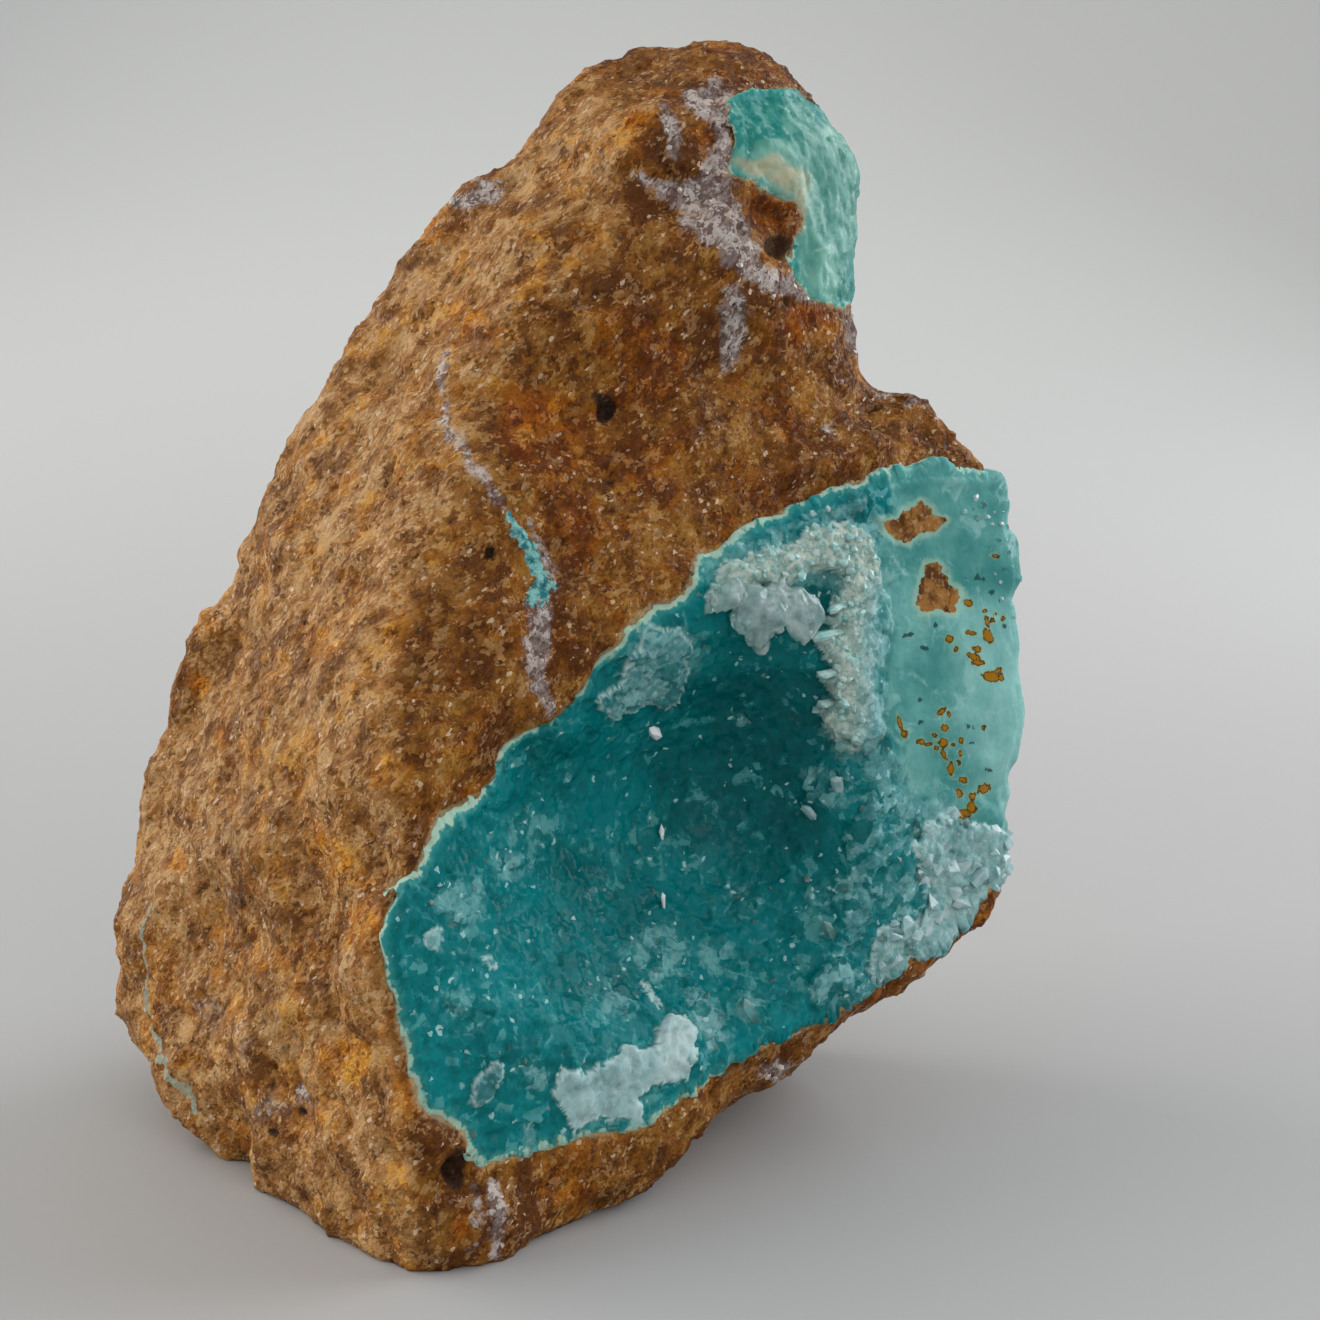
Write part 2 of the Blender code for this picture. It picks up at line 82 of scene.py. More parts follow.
ROCK_VOXEL = 0.64
LINING_VOXEL = 0.40
PATCH_VOXEL = 0.24
LUMP_VOXEL = 0.13
LUMP_POINTS = 44
STREAK_WAY = unit(np.array((-0.62, 0.28, -0.73)))  # the way the rock's grain runs
CHRYSOCOLLA = ("chrysocolla_face", "chrysocolla_patch")
OUTSIDE = -9.0  # millimetres inside a band or spot that is nowhere near
HIDDEN = -5.0  # the same for a whole piece or side without spots

# Zones of the rock: (across, down, half width, half height, strength).
ROCK_ZONES = {
    "ochre": (
        (638, 134, 20, 26, 0.9), (700, 138, 18, 16, 0.7), (655, 365, 36, 36, 0.8),
        (808, 328, 32, 26, 0.9), (540, 425, 48, 42, 0.9), (640, 456, 34, 24, 0.7),
        (586, 532, 26, 50, 0.8), (427, 227, 18, 14, 0.9), (335, 350, 9, 9, 0.8), (530, 415, 40, 52, 0.5),
        (480, 328, 22, 16, 0.9), (199, 688, 13, 16, 0.9), (177, 860, 9, 16, 0.9), (328, 846, 30, 32, 0.8),
        (387, 768, 18, 18, 0.7), (346, 1060, 26, 28, 1.2), (252, 1090, 24, 14, 0.8),
        (245, 1139, 14, 13, 0.9), (461, 1221, 12, 14, 0.9), (480, 796, 22, 12, 1.3),
        (432, 852, 10, 14, 1.0), (600, 400, 46, 44, 0.6), (300, 560, 30, 24, 0.4),
        (220, 760, 16, 40, 0.5), (285, 450, 16, 30, 0.5), (585, 300, 20, 26, 0.4),
        (395, 1180, 34, 26, 0.5), (560, 1185, 34, 18, 0.7), (270, 960, 30, 16, 0.7),
        (360, 930, 18, 30, 0.8), (160, 940, 10, 26, 0.6), (745, 465, 30, 14, 0.5),
        (768, 208, 26, 22, 1.6),
    ),
    "pale": (
        (236, 838, 18, 13, 1.0), (368, 636, 14, 13, 0.9), (270, 760, 40, 60, 0.45),
        (392, 374, 30, 20, 0.6), (270, 1026, 15, 19, 0.8), (295, 1046, 12, 10, 0.9),
        (333, 1030, 11, 15, 0.8), (328, 1120, 6, 22, 0.9), (330, 620, 46, 40, 0.4),
        (300, 690, 40, 46, 0.4), (390, 560, 30, 40, 0.35), (380, 1150, 40, 36, 0.5),
        (425, 1235, 30, 20, 0.5), (345, 480, 26, 30, 0.3), (575, 210, 26, 30, 0.35),
        (610, 250, 22, 18, 0.4), (166, 700, 8, 26, 0.3), (150, 850, 8, 30, 0.4), (690, 300, 14, 16, 0.5),
        (425, 700, 50, 56, 0.55), (440, 1228, 56, 30, 0.6), (500, 1190, 26, 20, 0.4),
    ),
    "quartz": (
        (888, 384, 14, 9, 0.8), (830, 428, 11, 7, 0.6), (302, 1096, 8, 17, 0.7), (270, 1108, 22, 13, 0.5),
        (209, 1014, 24, 22, 0.4), (232, 900, 12, 18, 0.4), (915, 398, 12, 8, 0.7),
        (790, 1075, 34, 10, 0.7), (706, 206, 30, 22, 0.6), (735, 240, 20, 18, 0.6),
        (775, 280, 30, 12, 0.6), (735, 330, 14, 36, 0.5), (385, 840, 8, 12, 0.4),
        (246, 1040, 12, 20, 0.4),
    ),
    "plum": (
        (400, 262, 20, 22, 0.7), (330, 330, 22, 18, 0.7), (230, 820, 30, 40, 0.5),
        (210, 1020, 26, 24, 0.8), (520, 660, 26, 34, 0.6), (500, 470, 12, 30, 0.6),
        (720, 330, 34, 36, 0.7), (880, 420, 40, 24, 0.5), (280, 1110, 40, 22, 0.7),
        (560, 150, 20, 24, 0.4), (640, 640, 30, 20, 0.4), (790, 455, 40, 16, 0.5),
        (340, 980, 30, 30, 0.4), (195, 780, 20, 50, 0.4), (505, 182, 12, 8, 0.9),
        (420, 1060, 20, 26, 0.5),
    ),
    # Painted shade: the dark of the rock's pits, of the shadows under ledges and edges, and of the dim
    # middle of the front.
    "dark": (
        (606, 408, 10, 15, 1.2), (597, 398, 7, 7, 0.9), (490, 549, 6, 7, 1.5), (456, 1170, 13, 20, 1.3),
        (299, 1111, 5, 5, 1.0), (270, 1133, 6, 5, 1.0), (775, 246, 18, 12, 1.1), (795, 268, 12, 8, 0.8),
        (640, 470, 30, 26, 0.4), (560, 1140, 40, 6, 0.6), (236, 906, 12, 16, 0.6), (693, 575, 10, 5, 1.0),
        (768, 214, 27, 26, 0.62), (720, 1110, 40, 8, 0.3), (662, 86, 6, 4, 0.8), (623, 236, 16, 14, 0.5),
    ),
}
# Painted shade: on these parts of the front the painted light of the lit side is taken back, so the middle
# face is darker.
SHADED_ZONES = ((630, 480, 120, 130, 1.0), (600, 590, 60, 60, 0.8))
# Small holes of the rock: (across, down, reach, depth).
ROCK_PITS = (
    (490, 549, 8, 0.7), (456, 1170, 16, 1.4), (606, 408, 11, 0.5), (775, 248, 15, 0.7),
    (768, 212, 27, 1.1), (299, 1111, 7, 0.4), (270, 1133, 7, 0.4),
)
# Paths on the rock with half widths in pixels: the blue seam, the pale one, and where grey quartz shows.
SEAM = (
    ((506, 512), (512, 524), (521, 536), (528, 550), (536, 566), (545, 584), (540, 598), (530, 608)),
    (2.5, 5.5, 6.0, 7.0, 9.0, 9.0, 10.0, 4.0),
)
EDGE_SEAM = (
    ((146, 905), (146, 935), (147, 975), (150, 1005), (151, 1030), (160, 1052), (172, 1072), (185, 1084),
     (194, 1100), (198, 1112)),
    (1.2, 1.8, 1.8, 1.8, 2.0, 2.5, 3.0, 3.0, 3.0, 1.5),
)
QUARTZ_PATHS = (
    (((448, 350), (441, 388), (447, 420), (462, 448), (482, 478), (503, 508)), (3, 4, 5, 8, 7, 3)),
    (((540, 600), (538, 640), (535, 670), (548, 704)), (12, 14, 12, 8)),
    (((528, 520), (548, 560), (556, 596)), (3, 5, 4)),
    (((475, 1186), (478, 1218), (474, 1250)), (3, 4, 3)),
    (((496, 1184), (498, 1218), (494, 1252)), (8, 9, 6)),
    (((662, 108), (670, 130), (672, 158)), (4, 6, 5)),
    (((690, 98), (712, 112), (728, 122)), (8, 12, 8)),
    (((726, 128), (722, 150), (714, 180), (704, 205)), (9, 12, 18, 28)),
    (((640, 176), (668, 192), (694, 206)), (6, 12, 22)),
    (((704, 205), (726, 232), (742, 262)), (29, 23, 13)),
    (((746, 272), (770, 280), (806, 292)), (9, 13, 10)),
    (((732, 296), (736, 330), (730, 362)), (12, 15, 9)),
    (((848, 320), (856, 345), (870, 368)), (8, 8, 5)),
    (((460, 202), (478, 190), (494, 186)), (9, 12, 8)),
    (((700, 100), (716, 92), (728, 104)), (8, 10, 6)),
)

# Bays and points of the broken edges: (across, down, reach) and how far the edge is moved.
EDGE_BAYS = (
    (566, 706, 62, 9, 12), (640, 616, 44, -8, -9), (716, 552, 34, 6, 7), (497, 786, 32, 9, 6),
    (446, 822, 30, -6, -9), (394, 872, 42, 10, 7), (716, 150, 46, 15, 2), (606, 660, 26, -3, -2),
    (806, 506, 30, 0, 4),
)

# Zones of the lining and of the patch.
HAZE_ZONES = (
    (462, 900, 31, 23, 0.85), (530, 832, 33, 20, 0.55), (510, 865, 28, 17, 0.6), (453, 940, 37, 18, 0.4),
    (455, 1012, 41, 25, 0.45), (530, 1075, 28, 22, 0.6), (500, 1106, 12, 8, 0.4),
    (527, 1136, 10, 16, 0.6), (654, 956, 37, 26, 0.75), (714, 952, 20, 18, 0.6), (617, 1002, 18, 28, 0.5),
    (743, 902, 15, 20, 0.6), (654, 838, 20, 33, 0.45), (709, 1015, 18, 24, 0.95),
    (748, 1007, 14, 16, 0.9), (663, 655, 40, 34, 1.0), (640, 680, 26, 24, 0.9), (831, 789, 38, 28, 0.45),
    (746, 903, 19, 20, 0.5), (716, 958, 18, 22, 0.5), (803, 920, 36, 18, 0.5), (836, 890, 33, 23, 0.55),
    (899, 903, 29, 15, 0.6), (899, 950, 29, 34, 0.8), (957, 879, 42, 64, 1.2), (831, 928, 13, 10, 0.8),
    (673, 1050, 23, 34, 0.9), (610, 1090, 46, 34, 0.9), (760, 566, 66, 28, 1.3), (850, 560, 40, 36, 1.3),
    (862, 640, 34, 60, 1.3), (858, 715, 32, 50, 1.2), (925, 795, 44, 42, 1.2), (980, 840, 24, 24, 1.0),
    (885, 775, 26, 24, 1.0), (770, 980, 50, 30, 0.35), (860, 980, 50, 30, 0.4), (700, 1060, 40, 20, 0.35),
    (590, 840, 26, 20, 0.35), (690, 870, 20, 16, 0.3), (480, 830, 24, 14, 0.3),
)
# Where the lining lies deepest in the hollow: there its teal is darker, partly its own deeper colour and
# partly painted shade of the recess, its surface is smoother and its crystals are fewer.
DEEP_ZONES = (
    (760, 720, 70, 60, 1.0), (820, 610, 22, 44, 1.1), (720, 800, 60, 50, 0.7), (600, 900, 50, 50, 0.45),
    (790, 800, 40, 60, 0.8), (590, 980, 40, 34, 0.4), (560, 760, 40, 30, 0.35), (680, 760, 40, 40, 0.7),
)
OVERHANG_ZONES = ((960, 925, 46, 40, 1.0), (905, 985, 40, 24, 0.6))
WIDE_RIM_ZONES = ((460, 810, 60, 60, 1.0), (690, 590, 60, 50, 0.7))
CORNER_ZONES = ((985, 512, 22, 14, 1.0), (1002, 560, 8, 50, 0.8), (832, 516, 40, 10, 0.7))
PATCH_PALE_ZONES = (
    (800, 190, 30, 14, 0.9), (838, 190, 20, 60, 0.9), (790, 165, 30, 16, 0.8), (822, 146, 16, 16, 1.0),
    (810, 215, 16, 30, 1.0), (842, 230, 12, 24, 0.9), (770, 150, 16, 12, 0.5), (820, 270, 20, 40, 0.3),
    (798, 118, 12, 12, 0.7),
)
PATCH_DARK_ZONES = ((775, 112, 26, 16, 0.8), (755, 134, 22, 14, 0.7), (742, 120, 12, 20, 0.5))
PATCH_CREAM_ZONES = ((760, 166, 26, 9, 1.0), (786, 178, 18, 10, 1.0), (800, 206, 9, 26, 0.9))

# Crisp-edged milky quartz on the lining: (whiteness, how far it stands up in mm, outline in the picture).
MILKY_OUTLINES = (
    (1.0, 1.05, (
        (719, 562), (742, 559), (762, 547), (793, 544), (803, 531), (824, 524), (854, 524), (866, 536),
        (873, 552), (878, 572), (884, 590), (893, 613), (890, 639), (885, 672), (880, 705), (885, 728),
        (877, 746), (859, 753), (836, 744), (822, 728), (819, 709), (833, 696), (820, 676), (831, 668),
        (821, 654), (813, 638), (836, 630), (828, 619), (829, 612), (834, 603), (844, 588), (836, 572),
        (822, 569), (808, 570), (798, 580), (783, 590), (773, 585), (747, 588), (717, 608), (704, 613),
        (706, 595), (717, 582),
    )),
    (0.95, 0.35, (
        (560, 1067), (571, 1070), (586, 1072), (599, 1064), (624, 1049), (642, 1051), (652, 1046),
        (655, 1033), (668, 1016), (683, 1023), (694, 1039), (693, 1062), (686, 1077), (668, 1082),
        (652, 1085), (640, 1098), (640, 1118), (611, 1118), (583, 1123), (572, 1130), (566, 1116),
        (556, 1098), (554, 1078),
    )),
    (0.62, 0.3, (
        (642, 626), (664, 626), (680, 632), (690, 642), (692, 650), (686, 660), (688, 670), (684, 676),
        (682, 694), (672, 702), (660, 706), (646, 702), (636, 710), (626, 714), (612, 718), (600, 710),
        (596, 698), (608, 686), (620, 678), (624, 666), (636, 650),
    )),
    (0.8, 0.45, (
        (925, 824), (950, 812), (981, 824), (1010, 836), (1020, 900), (985, 930), (960, 950), (930, 975),
        (897, 990), (868, 972), (876, 930), (904, 920), (926, 914), (930, 890), (917, 868), (914, 846),
    )),
    (0.46, 0.1, (
        (722, 560), (742, 546), (764, 534), (800, 519), (830, 508), (862, 501), (882, 508), (886, 536),
        (900, 560), (906, 600), (902, 640), (897, 680), (892, 720), (876, 736), (880, 640), (870, 560),
        (840, 530), (800, 545), (760, 556),
    )),
    (0.48, 0.16, (
        (850, 872), (872, 846), (900, 832), (925, 824), (912, 846), (916, 868), (930, 890), (926, 914),
        (904, 922), (880, 940), (872, 975), (856, 1000), (826, 1010), (806, 1000), (812, 976), (836, 958),
        (846, 930), (842, 900),
    )),
    (0.5, 0.1, ((684, 985), (700, 990), (718, 1010), (729, 1036), (722, 1050), (704, 1050), (694, 1026))),
    (0.34, 0.1, (
        (431, 884), (459, 881), (464, 873), (477, 876), (492, 901), (477, 917), (459, 927), (441, 917),
        (431, 914), (436, 899),
    )),
    (0.56, 0.4, (
        (470, 1102), (472, 1086), (482, 1070), (495, 1060), (505, 1062), (502, 1078), (492, 1094),
        (480, 1106),
    )),
    (0.8, 0.6, (
        (655, 1046), (657, 1028), (668, 1015), (684, 1018), (695, 1032), (696, 1052), (688, 1066),
        (672, 1068), (660, 1060),
    )),
    (0.5, 0.16, (
        (868, 750), (900, 752), (932, 768), (952, 796), (950, 818), (925, 826), (900, 834), (872, 848),
        (852, 862), (842, 844), (856, 818), (872, 796), (862, 772),
    )),
    (0.42, 0.14, ((651, 954), (690, 950), (693, 978), (655, 982))),
    (0.4, 0.08, ((489, 862), (512, 852), (538, 858), (532, 876), (508, 884), (492, 880))),
    (0.45, 0.1, ((734, 992), (748, 990), (762, 1000), (760, 1022), (744, 1024), (734, 1010))),
    (0.55, 0.06, ((428, 934), (440, 930), (446, 940), (438, 948), (428, 946))),
    (0.5, 0.06, ((448, 920), (458, 918), (461, 927), (453, 931))),
    (0.55, 0.05, ((484, 960), (493, 959), (496, 967), (488, 970))),
    (0.35, 0.08, ((636, 930), (668, 926), (690, 944), (684, 972), (652, 984), (630, 964))),
    (0.35, 0.08, ((806, 880), (838, 872), (866, 888), (858, 912), (828, 916), (804, 902))),
    (0.4, 0.1, ((800, 770), (832, 764), (864, 778), (866, 800), (840, 812), (806, 804))),
    (0.45, 0.05, ((520, 1058), (540, 1052), (552, 1072), (544, 1092), (522, 1090))),
    (0.5, 0.06, ((520, 1122), (533, 1120), (537, 1146), (524, 1150))),
    (0.3, 0.06, ((600, 978), (622, 972), (636, 996), (622, 1020), (602, 1010))),
    (0.3, 0.06, ((700, 940), (724, 934), (738, 956), (716, 974), (700, 964))),
    (0.35, 0.06, ((736, 886), (758, 880), (766, 904), (750, 922), (734, 910))),
    (0.25, 0.04, ((430, 1000), (470, 990), (498, 1010), (478, 1032), (440, 1030))),
    (0.42, 0.02, ((728, 711), (738, 708), (748, 716), (744, 722), (736, 732), (733, 728), (738, 717))),
    (0.42, 0.02, ((788, 706), (797, 705), (795, 715), (801, 725), (791, 721))),
    (0.65, 0.04, ((645, 983), (652, 989), (657, 996), (664, 1006), (655, 1003), (648, 993))),
    (0.5, 0.03, ((494, 897), (505, 901), (513, 897), (511, 909), (499, 906))),
    (0.5, 0.03, ((585, 892), (593, 890), (591, 904), (583, 907))),
)
# Grains of host rock in the cut face.
INCLUSION_OUTLINES = (
    (
        (881, 520), (895, 521), (908, 508), (923, 502), (933, 511), (946, 521), (936, 531), (918, 534),
        (910, 543), (898, 540), (890, 534), (882, 528),
    ),
    (
        (926, 565), (936, 562), (946, 575), (949, 585), (959, 590), (961, 598), (956, 610), (951, 613),
        (943, 610), (921, 613), (917, 600), (921, 582),
    ),
)
# Orange iron spots and black ones: (across, down, half length, half width, slope in degrees).
ORANGE_SPOTS = (
    (968, 603, 5.5, 3.5, 40), (988, 636, 8.5, 4.8, 75), (987, 622, 6.0, 2.2, 80),
    (971, 633, 5.0, 2.2, 15), (977, 649, 5.0, 3.2, 20), (956, 649, 3.0, 2.2, 120),
    (974, 657, 7.5, 3.4, 20), (978, 663, 6.5, 3.2, 8), (991, 677, 9.5, 5.6, 10), (998, 671, 3.0, 4.5, 60),
    (1001, 677, 3.4, 3.4, 0), (949, 639, 4.2, 4.0, 0), (900, 724, 8.5, 2.2, 74), (904, 734, 4.6, 3.2, 80),
    (943, 743, 5.2, 4.8, 0), (942, 712, 5.0, 3.0, 140), (921, 742, 5.2, 3.0, 10), (928, 744, 3.4, 2.2, 0),
    (945, 728, 3.8, 3.2, 0), (951, 769, 3.4, 7.0, 0), (944, 755, 2.4, 5.2, -25), (963, 780, 4.4, 3.2, 10),
    (959, 794, 4.4, 4.2, 0), (984, 789, 6.4, 5.0, -25), (973, 796, 3.4, 4.8, 15),
    (963, 814, 9.0, 4.6, -8), (971, 808, 5.6, 5.6, 0), (960, 753, 1.8, 3.2, 0), (959, 762, 1.8, 3.2, 0),
    (961, 741, 2.2, 2.8, 0), (984, 728, 2.2, 2.2, 0), (996, 614, 2.2, 2.0, 0), (985, 611, 2.0, 1.8, 0),
    (993, 620, 2.0, 2.2, 0), (1003, 618, 1.8, 3.2, 0), (935, 735, 3.0, 2.0, 30), (949, 714, 2.6, 1.8, 60),
    (937, 748, 2.6, 2.0, 0), (996, 556, 3.0, 2.0, 20), (953, 745, 2.0, 2.4, 0),
)
BLACK_SPOTS = (
    (978, 578, 3.0, 3.0, 0), (992, 592, 3.2, 3.0, 0), (947, 572, 2.8, 2.4, 0), (935, 625, 3.0, 2.6, 0),
    (924, 648, 4.2, 2.6, 30), (908, 635, 5.0, 2.0, -15), (1000, 599, 2.0, 2.0, 0),
    (920, 700, 2.4, 2.2, 0), (921, 722, 2.4, 2.2, 0), (989, 770, 3.6, 2.2, 25), (968, 725, 1.8, 2.0, 0),
    (973, 727, 1.8, 2.0, 0), (972, 743, 2.2, 2.2, 0), (1004, 626, 2.2, 2.4, 0), (984, 579, 2.0, 1.8, 0),
    (966, 578, 1.8, 1.8, 0),
)

# Crystals that stand out: foot and tip in the picture, radius and how far the tip stands off, kind.
STANDING_CRYSTALS = (
    (832, 634, 814, 638, 0.5, 0.9, "milky"), (834, 672, 819, 676, 0.42, 0.8, "milky"),
    (840, 606, 830, 612, 0.4, 0.9, "milky"), (832, 702, 820, 705, 0.4, 0.8, "milky"),
    (846, 742, 836, 750, 0.45, 0.7, "hazy"), (872, 742, 868, 752, 0.45, 0.7, "hazy"),
    (838, 788, 836, 776, 0.4, 0.6, "icy"), (812, 816, 804, 806, 0.4, 0.5, "icy"),
    # The three white crystals here stand in for glints of window light on crystal faces: a painted
    # highlight.
    (655, 735, 644, 713, 0.62, 0.8, "white_highlight"), (664, 908, 663, 892, 0.2, 0.5, "white_highlight"),
    (662, 838, 661, 824, 0.26, 0.5, "white_highlight"), (830, 934, 824, 922, 0.5, 0.6, "hazy"),
    (752, 1016, 742, 1000, 0.55, 0.6, "hazy"), (978, 876, 988, 866, 0.75, 0.3, "icy"),
    (962, 904, 972, 908, 0.75, 0.3, "icy"),
)
# Rounded lumps: middle in the picture, half width, half height and thickness in millimetres, turn, lift.
MILKY_LUMPS = (
    (742, 604, 1.45, 1.35, 1.3, 0.2, 1.1), (758, 614, 1.35, 1.65, 1.3, 0.6, 1.3),
    (726, 594, 1.05, 0.95, 0.9, 0.9, 0.7), (748, 632, 1.3, 1.25, 1.1, 1.7, 1.2),
    (738, 618, 1.1, 1.3, 1.1, 2.2, 1.0), (752, 646, 0.85, 0.75, 0.8, 0.4, 1.1),
    (764, 598, 1.05, 1.05, 1.1, 1.1, 1.2), (793, 617, 1.55, 2.15, 0.75, 0.15, 1.0),
    (786, 604, 1.1, 1.3, 0.8, 2.9, 1.2), (801, 612, 1.05, 1.55, 0.6, 0.3, 1.2),
    (716, 604, 0.7, 0.65, 0.6, 0.0, 0.5), (770, 588, 1.1, 0.7, 0.8, 0.7, 0.8),
)

# Quartz by kind: colour, transmission, roughness, colour of its haze, scattering below the surface.
QUARTZ_LOOKS = {
    "clear": ((0.88, 0.99, 0.98), 1.0, 0.05, None, 0.0),
    "hazy": ((0.42, 0.84, 0.82), 0.90, 0.28, (0.70, 0.95, 0.93), 0.0),
    "milky": ((0.27, 0.52, 0.49), 0.0, 0.26, (0.52, 0.68, 0.64), 0.4),
    "icy": ((0.36, 0.62, 0.63), 0.30, 0.16, (0.66, 0.84, 0.85), 0.3),
    # White, glossy quartz that stands in for a glint of window light: a painted highlight.
    "white_highlight": ((0.90, 0.95, 0.95), 0.0, 0.15, (0.95, 0.98, 0.98), 0.3),
    "cloudy": ((0.40, 0.62, 0.60), 0.60, 0.08, (0.74, 0.88, 0.85), 0.5),
    "grey": ((0.26, 0.19, 0.16), 0.0, 0.24, (0.55, 0.48, 0.43), 0.0),
}

# Lights, in metres: place, target, size, power and colour.
STONE_MIDDLE = (0.0, 0.0, 0.04)
LIGHTS = {
    "window_left": ((-0.75, 0.10, 0.45), STONE_MIDDLE, (0.90, 0.90), 6.4, (1.0, 0.98, 0.94)),
    "window_right": ((0.60, 0.24, 0.40), STONE_MIDDLE, (0.60, 0.60), 4.0, (0.94, 0.97, 1.0)),
    "soft_front": ((0.20, -0.42, 0.30), STONE_MIDDLE, (0.40, 0.30), 0.75, (0.97, 0.98, 1.0)),
    "wall_wash": ((0.0, 0.35, 0.90), (0.0, 1.3, 0.35), (1.6, 0.4), 3.0, (1.0, 1.0, 0.98)),
}


# ---------------------------------------------------------------- geometry helpers


def pixel_of(points):
    """Where points in millimetres fall in the picture."""
    away = points - CAMERA_PLACE
    depth = away @ CAMERA_AHEAD
    across = VIEW_MIDDLE + FOCAL_LENGTH * away[:, 0] / depth
    down = VIEW_MIDDLE - FOCAL_LENGTH * (away @ CAMERA_UP) / depth
    return across, down


def sight_line(across, down):
    """Direction from the camera through a place in the picture."""
    side = (np.asarray(across, float)[..., None] - VIEW_MIDDLE) / FOCAL_LENGTH
    rise = (VIEW_MIDDLE - np.asarray(down, float)[..., None]) / FOCAL_LENGTH
    ray = CAMERA_AHEAD + side * np.array((1.0, 0.0, 0.0)) + rise * CAMERA_UP
    return unit(ray)


def slid(points, across, down):
    """Points moved along the plane of the broken face until they show at a place in the picture."""
    rays = sight_line(across, down)
    reach = ((points - CAMERA_PLACE) @ FACE_NORMAL) / (rays @ FACE_NORMAL)
    return CAMERA_PLACE + rays * reach[..., None]


def face_place(points):
    away = points - FACE_CENTRE
    return away @ FACE_ACROSS, away @ FACE_UP


def slab_inside(x, y):
    """Millimetres inside the smooth broken slab."""
    return x - np.interp(y, SLAB_HEIGHTS, SLAB_STARTS)


def step(value, low, high):
    """0 below low, 1 above high and smooth between them."""
    t = np.clip((value - low) / (high - low), 0.0, 1.0)
    return t * t * (3.0 - 2.0 * t)


def lattice(cells, seed):
    """A fixed random number from -1 to 1 for each whole-number cell."""
    n = cells.astype(np.int64)
    mixed = n[..., 0] * 73856093 ^ n[..., 1] * 19349663 ^ n[..., 2] * 83492791 ^ (seed * 2654435761)
    for factor, shift in ((1274126177, 13), (2246822519, 16)):
        mixed = ((mixed ^ (mixed >> shift)) & 0xFFFFFFFF) * factor & 0xFFFFFFFF
    return (((mixed ^ (mixed >> 13)) & 0xFFFF) / 32767.5) - 1.0


def lattices(cells, seed, steps):
    return np.stack([lattice(cells, seed + k) for k in steps], axis=1)


def value_noise(points, size, seed):
    """Smooth noise from -1 to 1 with features of about that size."""
    scaled = points / size
    base = np.floor(scaled)
    part = scaled - base
    part = part * part * (3.0 - 2.0 * part)
    total = np.zeros(len(points))
    for corner in range(8):
        offset = np.array((corner & 1, corner >> 1 & 1, corner >> 2))
        share = np.prod(np.where(offset == 1, part, 1.0 - part), axis=1)
        total += share * lattice(base + offset, seed)
    return total


def stirring(points, size, seeds):
    """A random shift for each point, from -1 to 1 each way."""
    return np.stack([value_noise(points, size, seed) for seed in seeds], axis=1)


def fractal(points, size, octaves, seed):
    """Noise with finer and weaker noise on it."""
    total = np.zeros(len(points))
    reach = 0.0
    for octave in range(octaves):
        share = 0.5 ** octave
        total += share * value_noise(points, size * share, seed + octave)
        reach += share
    return total / reach * 1.4


def facets(points, size, seed):
    """Flat, tilted crystal faces from -1 to 1: each scattered seed owns one tilted plane."""
    scaled = points / size
    base = np.floor(scaled)
    nearest = np.full(len(points), 9.0)
    height = np.zeros(len(points))
    for offset in product((-1, 0, 1), repeat=3):
        cell = base + np.array(offset)
        spot = cell + 0.5 + 0.42 * lattices(cell, seed, (0, 11, 23))
        distance = np.linalg.norm(spot - scaled, axis=1)
        tilt = lattices(cell, seed, (31, 47, 59))
        plane = np.sum(tilt * (scaled - spot), axis=1) + 0.5 * lattice(cell, seed + 71)
        height = np.where(distance < nearest, plane, height)
        nearest = np.minimum(distance, nearest)
    return height


def zones(across, down, spots):
    """Strongest of several soft oval zones at each place in the picture."""
    best = np.zeros(len(across))
    for u, v, wide, tall, strength in spots:
        reach = np.hypot((across - u) / wide, (down - v) / tall)
        best = np.maximum(best, strength * step(1.45 - reach, 0.0, 0.9))
    return best


def inside_spots(across, down, spots):
    """Millimetres inside the nearest of several tilted oval spots in the picture."""
    best = np.full(len(across), OUTSIDE)
    for u, v, long, short, slope in spots:
        cosine, sine = math.cos(math.radians(slope)), math.sin(math.radians(slope))
        along = (across - u) * cosine + (down - v) * sine
        aside = (down - v) * cosine - (across - u) * sine
        reach = np.hypot(along / long, aside / short)
        best = np.maximum(best, (1.0 - reach) * math.sqrt(long * short) / PIXELS_PER_MM)
    return best


def to_segment(x, y, start, end):
    """How far along a line the nearest point is, from 0 to 1, and the distance to it."""
    (ax, ay), (bx, by) = start, end
    t = np.clip(((x - ax) * (bx - ax) + (y - ay) * (by - ay)) / ((bx - ax) ** 2 + (by - ay) ** 2), 0, 1)
    return t, np.hypot(x - ax - t * (bx - ax), y - ay - t * (by - ay))


def inside_path(across, down, path, widths):
    """Millimetres inside a band that follows a path in the picture; outside it is negative."""
    best = np.full(len(across), OUTSIDE)
    for k in range(len(path) - 1):
        t, distance = to_segment(across, down, path[k], path[k + 1])
        half = widths[k] + t * (widths[k + 1] - widths[k])
        best = np.maximum(best, (half - distance) / PIXELS_PER_MM)
    return best


